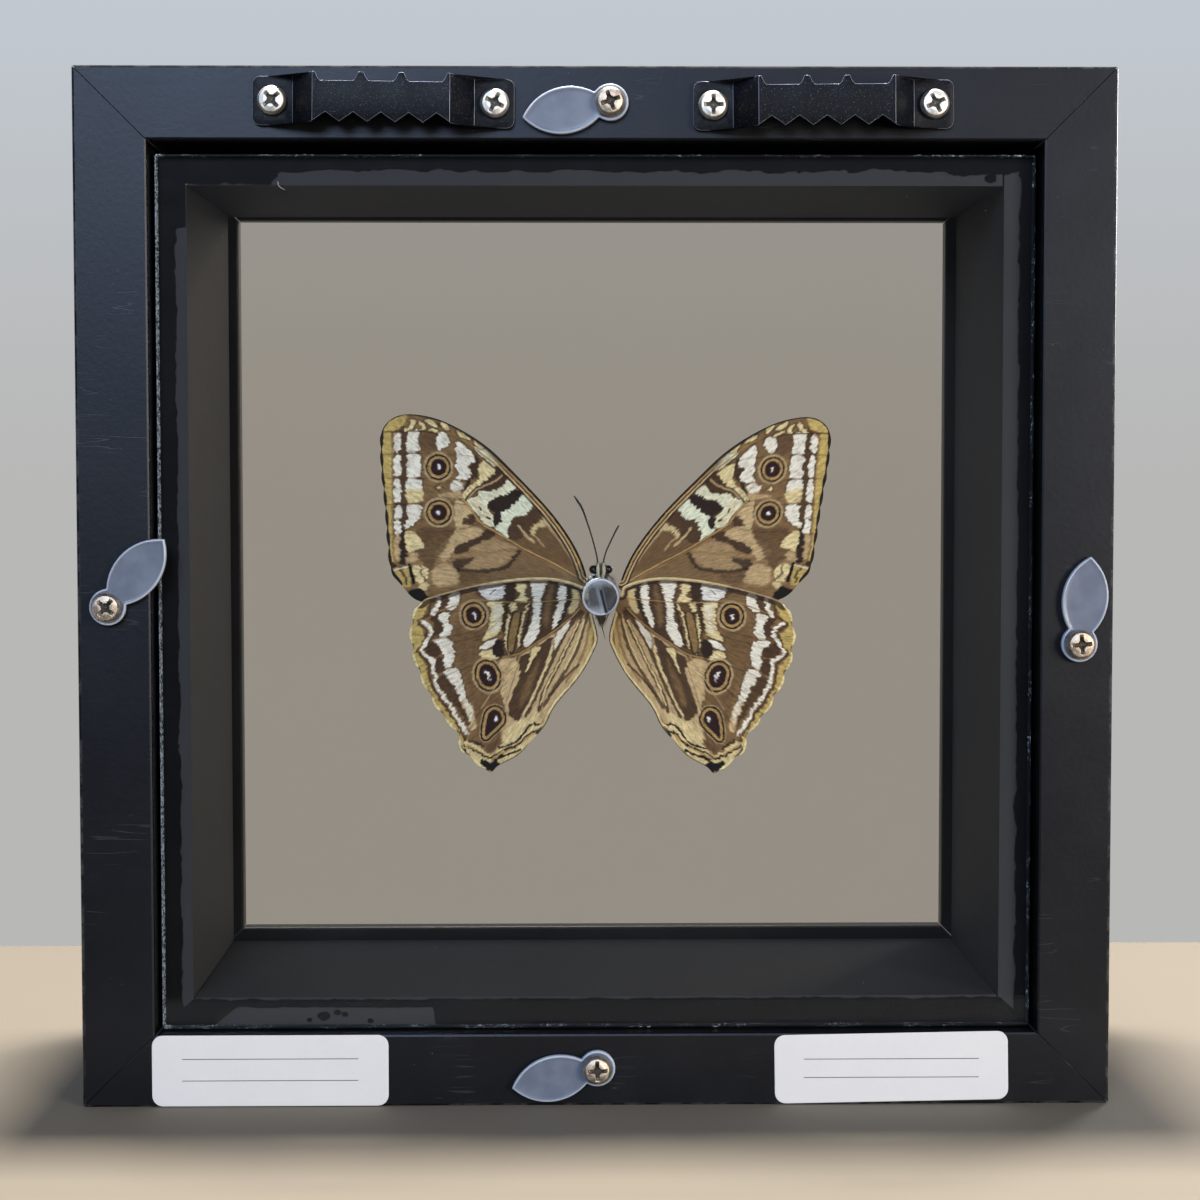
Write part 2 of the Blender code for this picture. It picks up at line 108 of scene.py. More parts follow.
def rough(points, size, seed, octaves=3):
    """Sum of noises, each half the size and 0.55 the weight of the one before, from 0 to 1."""
    total, weight, whole = 0.0, 1.0, 0.0
    for k in range(octaves):
        total = total + weight * noise(points, size / 2**k, seed + k)
        whole += weight
        weight *= 0.55
    return total / whole


def curve(points, steps=8, closed=False):
    """Catmull-Rom curve through the points: between each two a cubic whose slope is half the step across."""
    p = np.asarray(points, float)
    if closed:
        before, here, after, beyond = np.roll(p, 1, 0), p, np.roll(p, -1, 0), np.roll(p, -2, 0)
    else:
        padded = np.vstack([2 * p[0] - p[1], p, 2 * p[-1] - p[-2]])
        before, here, after, beyond = padded[:-3], padded[1:-2], padded[2:-1], padded[3:]
    t = (np.arange(steps) / steps)[None, :, None]
    a, b, c, d = before[:, None], here[:, None], after[:, None], beyond[:, None]
    made = 0.5 * (2 * b + (c - a) * t + (2 * a - 5 * b + 4 * c - d) * t**2 + (3 * b - a - 3 * c + d) * t**3)
    made = made.reshape(-1, p.shape[1])
    return made if closed else np.vstack([made, p[-1]])


def spaced(path, count):
    """The path again, with this many points at equal distances along it."""
    path = np.asarray(path, float)
    along = np.concatenate([[0], np.cumsum(np.linalg.norm(np.diff(path, axis=0), axis=1))])
    places = np.linspace(0, along[-1], count)
    return np.stack([np.interp(places, along, path[:, k]) for k in range(path.shape[1])], 1)


def to_path(points, path):
    """Distance from each point to the nearest place on a path, and how far along that is, from 0 to 1."""
    path = np.asarray(path, float)
    lengths = np.linalg.norm(np.diff(path, axis=0), axis=1)
    starts = np.concatenate([[0], np.cumsum(lengths)])
    best = np.full(len(points), 1e9)
    where = np.zeros(len(points))
    for a, b, start, length in zip(path[:-1], path[1:], starts, lengths):
        step = b - a
        t = np.clip((points - a) @ step / max(step @ step, 1e-12), 0, 1)
        gap = np.hypot(points[:, 0] - a[0] - t * step[0], points[:, 1] - a[1] - t * step[1])
        closer = gap < best
        best[closer] = gap[closer]
        where[closer] = (start + t[closer] * length) / starts[-1]
    return best, where


def to_shape(points, loop):
    """Signed distance to a closed loop, negative inside: the nearest edge, and a count of crossings."""
    ring = np.vstack([loop, loop[:1]])
    gap, _ = to_path(points, ring)
    inside = np.zeros(len(points), bool)
    for a, b in zip(ring[:-1], ring[1:]):
        if a[1] == b[1]:
            continue
        spans = (a[1] > points[:, 1]) != (b[1] > points[:, 1])
        cross = a[0] + (points[:, 1] - a[1]) * (b[0] - a[0]) / (b[1] - a[1])
        inside ^= spans & (points[:, 0] < cross)
    return np.where(inside, -gap, gap)


def tone(red, green, blue):
    """A colour as seen, each part from 0 to 255, as linear light."""
    c = np.array([red, green, blue]) / 255
    return np.where(c <= 0.04045, c / 12.92, ((c + 0.055) / 1.055) ** 2.4)


# ---------------------------------------------------------------- meshes


def outward(places, quads, tris):
    """The faces, all turned round if the volume that they enclose comes out below zero."""
    corners = np.vstack([quads[:, [0, 1, 2]], quads[:, [0, 2, 3]], tris])
    a, b, c = (places[corners[:, k]] - places.mean(0) for k in range(3))
    if np.einsum("ij,ij->i", a, np.cross(b, c)).sum() < 0:
        return quads[:, ::-1], tris[:, ::-1]
    return quads, tris


def build(name, places, quads, tris=(), smooth_faces=True, body="frame", slot=None, replaces=()):
    """A piece from whole arrays, with its faces outwards, riding its body."""
    places = np.asarray(places, float).reshape(-1, 3)
    quads = np.asarray(quads, int).reshape(-1, 4)
    tris = np.asarray(tris, int).reshape(-1, 3)
    quads, tris = outward(places, quads, tris)
    mesh = bpy.data.meshes.new(name)
    mesh.vertices.add(len(places))
    mesh.vertices.foreach_set("co", places.astype(np.float32).ravel())
    mesh.loops.add(quads.size + tris.size)
    mesh.loops.foreach_set("vertex_index", np.concatenate([quads.ravel(), tris.ravel()]).astype(np.int32))
    mesh.polygons.add(len(quads) + len(tris))
    starts = np.concatenate([np.arange(len(quads)) * 4, quads.size + np.arange(len(tris)) * 3])
    mesh.polygons.foreach_set("loop_start", starts.astype(np.int32))
    mesh.update(calc_edges=True)
    mesh.validate()
    if smooth_faces:
        mesh.shade_smooth()
    piece = bpy.data.objects.new(name, mesh)
    bpy.context.scene.collection.objects.link(piece)
    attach(piece, body)
    if replaces:
        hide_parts(*replaces)
    return piece


def slab(front, back, around=False):
    """Faces of a closed sheet between two grids of points; around joins the last column to the first."""
    rows, columns = front.shape[:2]
    places = np.concatenate([front.reshape(-1, 3), back.reshape(-1, 3)])
    at = np.arange(rows * columns).reshape(rows, columns)
    if around:
        at = np.hstack([at, at[:, :1]])
    other = at + rows * columns

    def strip(p, q):
        """Faces between two edges."""
        return np.stack([p[:-1], p[1:], q[1:], q[:-1]], 1)

    one = np.stack([at[:-1, :-1], at[1:, :-1], at[1:, 1:], at[:-1, 1:]], -1).reshape(-1, 4)
    two = np.stack([other[:-1, :-1], other[:-1, 1:], other[1:, 1:], other[1:, :-1]], -1).reshape(-1, 4)
    sides = [strip(at[0], other[0]), strip(other[-1], at[-1])]
    if not around:
        sides += [strip(other[:, 0], at[:, 0]), strip(at[:, -1], other[:, -1])]
    return places, np.vstack([one, two] + sides)


def loft(rings):
    """Faces of a closed form through rings of points, each end closed to the middle of its ring."""
    rings = np.asarray(rings, float)
    count, around = rings.shape[:2]
    places = np.concatenate([rings.reshape(-1, 3), rings[0].mean(0)[None], rings[-1].mean(0)[None]])
    at = np.arange(count * around).reshape(count, around)
    at = np.hstack([at, at[:, :1]])
    quads = np.stack([at[:-1, :-1], at[:-1, 1:], at[1:, 1:], at[1:, :-1]], -1).reshape(-1, 4)
    first, last = count * around, count * around + 1
    start = np.stack([at[0, 1:], at[0, :-1], np.full(around, first)], 1)
    end = np.stack([at[-1, :-1], at[-1, 1:], np.full(around, last)], 1)
    return places, quads, np.vstack([start, end])


def joined(parts):
    """Several (places, quads, tris) as one."""
    places, quads, tris, count = [], [], [], 0
    for p, q, t in parts:
        places.append(p)
        quads.append(np.asarray(q, int).reshape(-1, 4) + count)
        tris.append(np.asarray(t, int).reshape(-1, 3) + count)
        count += len(p)
    return np.vstack(places), np.vstack(quads), np.vstack(tris)


def tube(path, radii, around=10):
    """Rings about a path, each square to it, with this radius at each point."""
    path = np.asarray(path, float)
    radii = np.broadcast_to(radii, len(path))
    ahead = np.gradient(path, axis=0)
    ahead /= np.linalg.norm(ahead, axis=1)[:, None]
    side = np.cross(ahead, [0.31, 0.87, 0.39])
    side /= np.linalg.norm(side, axis=1)[:, None]
    other = np.cross(ahead, side)
    turn = np.linspace(0, ROUND, around, endpoint=False)
    ring = np.cos(turn)[None, :, None] * side[:, None] + np.sin(turn)[None, :, None] * other[:, None]
    return loft(path[:, None] + radii[:, None, None] * ring)


def blob(centre, radii, bumps=0.0, seed=1, rows=24, around=36):
    """An ellipsoid: height is cosine and width is sine of one angle, swelled by noise of this share."""
    tilt = np.linspace(0.04, math.pi - 0.04, rows)[:, None]
    turn = np.linspace(0, ROUND, around, endpoint=False)[None, :]
    unit = np.stack([np.sin(tilt) * np.cos(turn), np.sin(tilt) * np.sin(turn), np.cos(tilt) + 0 * turn],
        -1)
    wave = np.stack([tilt * 6 + 0 * turn, np.cos(turn) * 5 + np.sin(turn) * 3 + 0 * tilt], -1)
    swell = 1 + bumps * (2 * rough(wave, 1.0, seed) - 1)
    return loft(np.asarray(centre) + unit * np.asarray(radii) * swell[..., None])


def attribute(piece, name, values, kind="FLOAT"):
    """A number, vector or colour for each vertex, for the material to read."""
    values = np.asarray(values, np.float32)
    if kind == "FLOAT_COLOR":
        values = np.concatenate([values, np.ones((len(values), 1), np.float32)], 1)
    member = {"FLOAT": "value", "FLOAT_VECTOR": "vector", "FLOAT_COLOR": "color"}[kind]
    piece.data.attributes.new(name, kind, "POINT").data.foreach_set(member, values.ravel())


# ---------------------------------------------------------------- materials


class Signal:
    """A shader socket that takes part in sums: each operator adds the Math node that it stands for."""

    def __init__(self, look, socket):
        self.look, self.socket = look, socket

    def __add__(self, other):
        return self.look.maths("ADD", self, other)

    def __sub__(self, other):
        return self.look.maths("SUBTRACT", self, other)

    def __rsub__(self, other):
        return self.look.maths("SUBTRACT", other, self)

    def __mul__(self, other):
        return self.look.maths("MULTIPLY", self, other)

    def __abs__(self):
        return self.look.maths("ABSOLUTE", self)

    __radd__, __rmul__ = __add__, __mul__

    def between(self, low, high):
        """0 at low and 1 at high, eased between them; low may be the larger."""
        if low > high:
            return 1 - self.between(high, low)
        sockets = {"Value": self, "From Min": low, "From Max": high}
        return self.look.node("ShaderNodeMapRange", {"interpolation_type": "SMOOTHSTEP"}, sockets)


class Graph:
    """A shader tree in the making."""

    def __init__(self, tree):
        self.tree = tree

    def give(self, socket, value):
        """Links a signal to the socket, or sets a plain value on it."""
        if isinstance(value, Signal):
            self.tree.links.new(value.socket, socket)
        elif socket.type == "RGBA":
            socket.default_value = (*list(value)[:3], 1)
        else:
            socket.default_value = value

    def node(self, kind, settings=None, sockets=None, output=0):
        """A node of this type: its settings, then the values or links of its sockets; gives one output."""
        made = self.tree.nodes.new(kind)
        for name, value in (settings or {}).items():
            setattr(made, name, value)
        for name, value in (sockets or {}).items():
            self.give(made.inputs[name], value)
        return Signal(self, made.outputs[output])

    def maths(self, operation, *terms):
        """A Math node on these terms."""
        return self.node("ShaderNodeMath", {"operation": operation}, dict(enumerate(terms)))

    def mix(self, share, one, two, blend="MIX"):
        """A colour between two."""
        return self.node("ShaderNodeMix", {"data_type": "RGBA", "blend_type": blend},
            {0: share, 6: one, 7: two}, 2)

    def parts(self, output="Object"):
        """The three parts of a texture coordinate."""
        where = self.node("ShaderNodeTexCoord", output=output)
        first = self.node("ShaderNodeSeparateXYZ", {}, {0: where})
        return [Signal(self, first.socket.node.outputs[k]) for k in range(3)]


class Look(Graph):
    """One material in the making, with its Principled shader."""

    def __init__(self, name, **constants):
        self.material = bpy.data.materials.new(name)
        self.material.use_nodes = True
        super().__init__(self.material.node_tree)
        self.shader = self.tree.nodes["Principled BSDF"]
        self.set(**constants)

    def set(self, **values):
        """Sets or links sockets of the Principled shader; an underscore in a name stands for a space."""
        for name, value in values.items():
            self.give(self.shader.inputs[name.replace("_", " ")], value)

    def place(self, x=1.0, y=1.0, z=1.0, turn=(0, 0, 0)):
        """Object coordinates, stretched along each axis."""
        where = self.node("ShaderNodeTexCoord", output="Object")
        return self.node("ShaderNodeMapping", {}, {"Vector": where, "Rotation": turn, "Scale": (x, y, z)})

    def grain(self, size, detail=2.0, roughness=0.5, where=None):
        """Noise whose features are about this many metres across."""
        sockets = {"Vector": where or self.place(), "Scale": 1 / size, "Detail": detail,
            "Roughness": roughness}
        return self.node("ShaderNodeTexNoise", {}, sockets)

    def cells(self, size):
        """Distance to the nearest of scattered points, about this many metres apart."""
        return self.node("ShaderNodeTexVoronoi", {}, {"Vector": self.place(), "Scale": 1 / size})

    def read(self, name, output="Fac"):
        """An attribute of the mesh."""
        return self.node("ShaderNodeAttribute", {"attribute_name": name}, output=output)

    def bump(self, height, depth, strength=1.0):
        """Height, from 0 to 1, raised by this depth in metres."""
        sockets = {"Height": height, "Distance": depth, "Strength": strength}
        self.set(Normal=self.node("ShaderNodeBump", {}, sockets))


def paint_look():
    """Satin black paint over wood: faint brush grain, dust, light scratches and rubbed outer edges."""
    look = Look("satin_black_paint", Specular_IOR_Level=0.34, Specular_Tint=(0.84, 0.88, 1.0))
    x, y, z = look.parts()
    side = abs(x).between(HALF_WIDTH - 0.0007, HALF_WIDTH - 0.0001)
    depth = abs(y).between(FRONT_Y - 0.0007, FRONT_Y - 0.0001)
    ends = abs(z - HEIGHT / 2).between(HEIGHT / 2 - 0.0007, HEIGHT / 2 - 0.0001)
    edge = look.maths("MAXIMUM", side * depth, look.maths("MAXIMUM", side * ends, depth * ends))
    patchy = look.grain(0.004, 4, 0.7)
    rubbed = edge * patchy.between(0.45, 0.62)
    brush = look.grain(0.0011, 3, 0.6, look.place(1, 0.12, 1))
    dust = look.grain(0.018, 5, 0.65)
    speck = look.cells(0.0028).between(0.055, 0.02) * look.grain(0.009).between(0.52, 0.6)
    lines = look.grain(0.0016, 1, 0.4, look.place(0.06, 1, 1, (0.2, 0.9, 0.4)))
    scratch = abs(lines - 0.5).between(0.012, 0.002) * look.grain(0.011).between(0.56, 0.66)
    colour = look.mix(dust.between(0.35, 0.75), (0.0028, 0.0026, 0.0027), (0.0052, 0.0050, 0.0052))
    colour = look.mix(rubbed * 0.6, colour, (0.09, 0.085, 0.08))
    colour = look.mix(look.maths("MAXIMUM", speck * 0.55, scratch * 0.12), colour, (0.16, 0.16, 0.165))
    settled = z.between(HEIGHT - 0.0004, HEIGHT - 0.0001)
    look.set(Base_Color=colour,
        Roughness=0.32 + 0.08 * dust + 0.04 * brush + 0.12 * speck + 0.28 * settled)
    look.bump(brush * 0.6 + dust * 0.4 - scratch * 0.3, 0.00009, 0.35)
    return look.material


def board_look():
    """Matt black board, slightly greyed by fibres."""
    look = Look("matt_black_board", Specular_IOR_Level=0.35)
    fibre = look.grain(0.0006, 3, 0.7, look.place(1, 0.3, 1))
    cloud = look.grain(0.012, 3, 0.6)
    speck = look.cells(0.0021).between(0.06, 0.02) * look.grain(0.006).between(0.5, 0.6)
    colour = look.mix(0.5 * fibre + 0.5 * cloud, (0.030, 0.030, 0.032), (0.055, 0.054, 0.056))
    colour = look.mix(speck * 0.4, colour, (0.15, 0.15, 0.15))
    look.set(Base_Color=colour, Roughness=0.62 + 0.2 * fibre)
    look.bump(fibre, 0.00005, 0.5)
    return look.material


def glass_look(name, tint):
    """Clear picture glass of this tint: faintly dusty faces, ground edges pale where chipped, a painted glint
    on one end.
    """
    look = Look(name, Specular_IOR_Level=0.8)
    x, _, z = look.parts()
    chips = look.grain(0.0006, 2, 0.7).between(0.52, 0.68) * look.grain(0.006, 3).between(0.45, 0.6)
    # Painted glint: a bright grainy strip on the left end face of the pane only.
    end = look.grain(0.0004).between(0.4, 0.6) * x.between(-0.080, -0.0815)
    chips_and_painted_glint = look.maths("MAXIMUM", chips * 0.6, end)
    look.set(Base_Color=look.mix(chips_and_painted_glint, (0.012, 0.014, 0.016), (0.75, 0.82, 0.86)),
        Roughness=0.3 + 0.3 * chips)
    look.bump(chips, 0.0002, 0.8)
    edge_shader = Signal(look, look.shader.outputs[0])
    smear = look.grain(0.03, 3, 0.6)
    clear = look.node("ShaderNodeBsdfTransparent", {}, {"Color": tint})
    mirror = look.node("ShaderNodeBsdfGlossy", {}, {"Color": (0.22, 0.25, 0.30), "Roughness": 0.02})
    haze = look.node("ShaderNodeBsdfDiffuse", {}, {"Color": (0.8, 0.8, 0.8)})
    fresnel = look.node("ShaderNodeFresnel", {}, {"IOR": 1.5})
    face = look.node("ShaderNodeMixShader", {}, {0: fresnel, 1: clear, 2: mirror})
    speck = look.cells(0.0035).between(0.03, 0.012) * look.grain(0.02).between(0.5, 0.58)
    dusty = look.node("ShaderNodeMixShader", {}, {0: smear * 0.006 + speck * 0.5, 1: face, 2: haze})
    half = GLASS_HIGH.x - 0.00025
    rim = look.maths("MAXIMUM", abs(x), abs(z - GLASS_MIDDLE)).between(half - 0.0001, half)
    whole = look.node("ShaderNodeMixShader", {}, {0: rim, 1: dusty, 2: edge_shader})
    look.tree.links.new(whole.socket, look.tree.nodes["Material Output"].inputs["Surface"])
    return look.material


def film_look():
    """Black glue film, pressed flat against glass, with small bubbles."""
    look = Look("black_glue_film", Specular_IOR_Level=0.05)
    bubbles = look.cells(0.0009).between(0.12, 0.3)
    cloud = look.grain(0.004, 3)
    colour = look.mix(bubbles * cloud, (0.0045, 0.0042, 0.0045), (0.0010, 0.0010, 0.0012))
    look.set(Base_Color=colour, Roughness=0.35 + 0.25 * cloud)
    look.bump(bubbles, 0.00005, 0.5)
    return look.material


def steel_look():
    """Blackened steel: mottled dark coat, speckled, worn bright where the attribute worn says."""
    look = Look("blackened_steel", Specular_IOR_Level=0.14)
    worn = look.read("worn")
    mottle = look.grain(0.0009, 4, 0.7)
    fine = look.grain(0.00022, 2, 0.6)
    bare = (worn * (0.5 + 1.0 * mottle)).between(0.2, 0.7)
    speck = look.maths("MAXIMUM", bare, fine.between(0.62, 0.72) * 0.35)
    colour = look.mix(mottle, (0.0014, 0.0016, 0.0026), (0.006, 0.0068, 0.0100))
    colour = look.mix(speck, colour, (0.42, 0.47, 0.57))
    look.set(Base_Color=colour, Metallic=0.3 * speck, Roughness=0.30 + 0.25 * mottle)
    look.bump(fine * 0.5 + mottle * 0.5, 0.00006, 0.6)
    return look.material


def nickel_look(name, dull, bright):
    """Nickel plate between these two colours, with fine pits and painted shade darkening the cross recess."""
    look = Look(name, Metallic=1.0)
    deep = look.read("deep")
    pits = look.grain(0.00025, 3, 0.7)
    stain = look.grain(0.0012, 3, 0.6)
    colour = look.mix(stain.between(0.3, 0.7), dull, bright)
    colour = look.mix(pits.between(0.60, 0.70) * 0.7, colour, (0.12, 0.10, 0.08))
    # Painted shade: where the attribute deep says, the recess is darkened nearly to black.
    colour = look.mix(deep * 0.9, colour, (0.035, 0.03, 0.025))
    look.set(Base_Color=colour, Roughness=0.38 + 0.22 * stain + 0.2 * deep)
    look.bump(pits, 0.00005, 0.55)
    return look.material


def frosted_look():
    """Frosted clear plastic: milky blue-grey body, with a painted highlight on the rims where the moulding
    catches light.
    """
    look = Look("frosted_plastic", Specular_IOR_Level=0.5, Coat_Roughness=0.15)
    rim = look.read("rim")
    frost = look.grain(0.00035, 3, 0.7)
    flow = look.grain(0.004, 2, 0.5)
    colour = look.mix(flow.between(0.3, 0.7), (0.15, 0.175, 0.235), (0.20, 0.23, 0.30))
    # Painted highlight: the rim attribute lightens the colour at the edges and makes them less see-through.
    colour = look.mix(rim, colour, (0.56, 0.62, 0.70))
    look.set(Base_Color=colour, Roughness=0.3 + 0.15 * frost, Coat_Weight=0.3, Alpha=0.72 + 0.28 * rim)
    look.bump(frost, 0.00005, 0.4)
    return look.material


def paper_look(lines):
    """White label paper with fine fibres; a line is ruled from one x to another at each height."""
    look = Look("label_paper", Roughness=0.55, Specular_IOR_Level=0.4)
    fibre = look.grain(0.00035, 4, 0.7)
    cloud = look.grain(0.006, 2)
    colour = look.mix(0.6 * fibre + 0.4 * cloud, (0.67, 0.65, 0.63), (0.77, 0.748, 0.725))
    x, _, z = look.parts()
    width = 0.08 * MM
    for middle, half, height in lines:
        across = abs(x - middle).between(half + 0.00005, half - 0.00005)
        along = abs(z - height).between(width + 0.00004, width - 0.00004)
        ink = across * along * (0.75 + 0.25 * fibre)
        colour = look.mix(ink, colour, (0.03, 0.03, 0.032))
    look.set(Base_Color=colour)
    look.bump(fibre, 0.00003, 0.5)
    return look.material


def acrylic_look():
    """Clear polished acrylic with faint scuffs."""
    look = Look("clear_acrylic", Base_Color=(0.97, 0.98, 1.0), IOR=1.49, Transmission_Weight=1.0)
    scuff = look.grain(0.0012, 3, 0.6)
    look.set(Roughness=0.015 + 0.03 * scuff)
    look.bump(scuff, 0.00003, 0.3)
    return look.material


def wing_look():
    """Dry wing scales: the pattern's colour, shaken by the grain of single scales, with a soft sheen."""
    look = Look("wing_scales", Specular_IOR_Level=0.25, Sheen_Weight=0.06, Sheen_Roughness=0.5)
    colour = look.read("scales", "Color")
    ray = look.read("ray", "Vector")
    streak = look.node("ShaderNodeTexNoise", {},
        {"Vector": ray, "Scale": 1.0, "Detail": 3.0, "Roughness": 0.65})
    scale = look.cells(0.00016)
    grain = look.grain(0.0004, 3, 0.7)
    shade = 1.85 * streak + 0.42 * grain + 0.22 * scale - 0.25
    tint = look.node("ShaderNodeCombineXYZ", {}, {0: shade, 1: shade, 2: shade})
    colour = look.mix(1.0, colour, tint, "MULTIPLY")
    look.set(Base_Color=colour, Roughness=0.6 + 0.25 * grain)
    look.bump(scale * 0.6 + grain * 0.4, 0.00005, 0.6)
    return look.material


def hair_look():
    """Dry brown body hair, lighter in tufts."""
    look = Look("body_hair", Roughness=0.75, Sheen_Weight=0.3)
    tuft = look.grain(0.0004, 3, 0.7)
    look.set(Base_Color=look.mix(tuft, (0.035, 0.022, 0.013), (0.17, 0.12, 0.075)))
    look.bump(tuft, 0.0001, 0.6)
    return look.material


def horn_look(name, dark, light, roughness):
    """Dry insect horn, for eyes, feelers and legs."""
    look = Look(name)
    ringed = look.grain(0.0002, 2, 0.6)
    look.set(Base_Color=look.mix(ringed, dark, light), Roughness=roughness + 0.15 * ringed)
    look.bump(ringed, 0.00003, 0.5)
    return look.material


def floor_look():
    """A plain pale floor."""
    look = Look("pale_floor", Roughness=0.8)
    cloud = look.grain(0.12, 3, 0.5)
    look.set(Base_Color=look.mix(cloud, (0.200, 0.164, 0.118), (0.225, 0.187, 0.138)))
    return look.material


def wear(piece, material):
    """Gives the piece this one material."""
    piece.data.materials.clear()
    piece.data.materials.append(material)
    return piece


# ---------------------------------------------------------------- camera, light and floor


def studio():
    """A camera level with the box's middle, a pale floor that ends behind it, and broad soft lights."""
    camera = bpy.data.cameras.new("camera")
    camera.lens = 73.92
    camera.sensor_width = 36
    seen = bpy.data.objects.new("camera", camera)
    seen.location = (-0.0058, -0.4931, 0.1188)
    seen.rotation_euler = Euler([math.radians(a) for a in (87.056, 0.036, -0.802)])
    bpy.context.scene.collection.objects.link(seen)
    bpy.context.scene.camera = seen
    bpy.context.scene.view_settings.view_transform = "Standard"

    world = bpy.data.worlds.new("room")
    world.use_nodes = True
    bpy.context.scene.world = world
    room = Graph(world.node_tree)
    _, back, up = room.parts("Generated")
    wall = room.mix(up.between(-0.02, 0.25), (0.48, 0.48, 0.475), (0.55, 0.60, 0.66))
    wall = room.mix(up.between(0.3, 0.7), wall, (0.12, 0.13, 0.15))
    band = up.between(0.08, 0.26) * up.between(0.60, 0.38)
    dim = room.mix(band, (0.050, 0.050, 0.052), (0.38, 0.49, 0.76))
    colour = room.mix(back.between(-0.15, 0.35), dim, wall)
    background = room.tree.nodes["Background"]
    room.give(background.inputs["Color"], colour)
    background.inputs["Strength"].default_value = 1.0

    # Name, place, what it is aimed at, size, watts and colour.
    lights = (
        ("over", (0.0, 0.12, 1.10), (0.0, 0.0, 0.0), 0.14, 30.0, (1.0, 0.98, 0.95)),
        ("front", (0.75, -0.95, 0.22), (0.0, 0.0, 0.09), 0.4, 10.0, (1.0, 0.91, 0.80)),
        ("high", (-0.25, -1.15, 0.55), (0.0, 0.0, 0.10), 0.42, 8.0, (0.62, 0.77, 1.0)),
        ("display", (0.85, 1.10, 0.42), (0.0, 0.0, 0.09), 0.4, 9.0, (1.0, 0.98, 0.96)),
    )
    for name, place, aim, size, power, colour in lights:
        lamp = bpy.data.lights.new(name, "AREA")
        lamp.size = size
        lamp.energy = power
        lamp.color = colour
        held = bpy.data.objects.new(name, lamp)
        held.location = place
        held.rotation_euler = (Vector(aim) - Vector(place)).to_track_quat("-Z", "Y").to_euler()
        bpy.context.scene.collection.objects.link(held)

    across = np.linspace(-0.9, 0.9, 7)
    along = np.linspace(-0.12, 0.124, 5)
    top = np.stack(np.broadcast_arrays(across[:, None], along[None, :], np.array(0.0)), -1)
    mesh = bpy.data.meshes.new("floor")
    places, faces = slab(top, top - [0, 0, 0.02])
    mesh.from_pydata(places.tolist(), [], faces.tolist())
    mesh.update()
    floor = bpy.data.objects.new("floor", mesh)
    bpy.context.scene.collection.objects.link(floor)
    mesh.materials.append(floor_look())
    form = bmesh.new()
    form.from_mesh(mesh)
    bmesh.ops.recalc_face_normals(form, faces=form.faces)
    form.to_mesh(mesh)
    form.free()


# ---------------------------------------------------------------- wing patterns

GROUND = tone(119, 98, 72)
DUSK = tone(90, 72, 52)
UMBER = tone(62, 45, 31)
BISTER = tone(38, 26, 19)
BLACK = tone(12, 10, 10)
WHITE = tone(220, 215, 209)
MILK = tone(206, 208, 190)
MINT = tone(202, 213, 196)
CREAM = tone(205, 190, 154)
BUFF = tone(178, 159, 131)
ROSE = tone(150, 132, 107)
OCHRE = tone(172, 155, 104)
GOLD = tone(156, 131, 92)
MAROON = tone(38, 17, 20)
PUPIL = tone(236, 228, 233)

FAR = 9.0  # a distance past every mark's soft edge, in millimetres


def rays(points):
    """Distance from the wing's root, and the angle there, for streaks that run outwards."""
    away = np.hypot(points[:, 0] + 2, points[:, 1])
    return away, np.arctan2(points[:, 1], points[:, 0] + 2)


class Painter:
    """Colours for each point of a wing, laid down one mark over another, with edges ragged as scales are:
    outwards by streaky noise that changes fast from ray to ray, and a little every way by soft noise."""

    def __init__(self, points, ground, seed):
        self.points = points
        away, angle = rays(points)
        outwards = np.stack([np.cos(angle), np.sin(angle)], 1)
        streak = rough(np.stack([angle * 95, away * 0.45], 1), 1.0, seed + 70, 2)[:, None] - 0.5
        shake = np.stack([rough(points, 0.6, seed), rough(points, 0.6, seed + 50)], 1) - 0.5
        self.ragged = points + 0.45 * shake + 1.0 * streak * outwards
        self.fine = points + 0.16 * shake + 0.25 * streak * outwards
        self.colours = np.tile(ground, (len(points), 1)).astype(float)
        self.lay(0.35 * rough(points, 2.2, seed + 80) + 0.5 * streak[:, 0], DUSK)

    def lay(self, share, colour):
        """Moves each point's colour towards this one by its share."""
        self.colours += np.clip(share, 0, 1)[:, None] * (np.asarray(colour) - self.colours)

    def near(self, points, shape, reach):
        """Which points lie within reach of the shape's bounding box."""
        low, high = shape.min(0) - reach, shape.max(0) + reach
        return np.all((points > low) & (points < high), axis=1)

    def patch(self, colour, loop, soft=0.09, share=1.0):
        """A filled loop; a light crisp one also gets a thin dark surround."""
        shape = curve(loop, 4, True)
        close = self.near(self.ragged, shape, 2 * soft + 0.5)
        gap = np.full(len(self.points), FAR)
        gap[close] = to_shape(self.ragged[close], shape)
        if soft <= 0.12 and min(colour) > 0.3:
            self.lay(smooth(0.5, 0.15, gap) * 0.6 * share, UMBER)
        self.lay(smooth(soft, -soft, gap) * share, colour)

    def line(self, colour, path, width, soft=0.07, share=1.0, fine=True):
        """A stroke of this full width, with the wing's finer or coarser raggedness."""
        points = self.fine if fine else self.ragged
        shape = curve(path, 5)
        close = self.near(points, shape, width + soft + 0.1)
        gap, _ = to_path(points[close], shape)
        cover = np.zeros(len(self.points))
        cover[close] = smooth(width / 2 + soft, width / 2 - soft, gap)
        self.lay(cover * share, colour)

    def eye(self, loop, pupil, halo=0.55):
        """An eyespot: rings at set distances round a dark middle, and a light pupil."""
        shape = curve(loop, 5, True)
        close = self.near(self.fine, shape, 3.0)
        gap = np.full(len(self.points), FAR)
        gap[close] = to_shape(self.fine[close], shape)
        self.lay(0.8 * smooth(0.98 + halo, 0.80 + halo, gap), BUFF * 0.86)
        self.lay(smooth(1.02, 0.88, gap), BLACK)
        self.lay(smooth(0.62, 0.50, gap), GOLD)
        self.lay(smooth(0.10, -0.05, gap), MAROON)
        self.patch(PUPIL, pupil, 0.12)


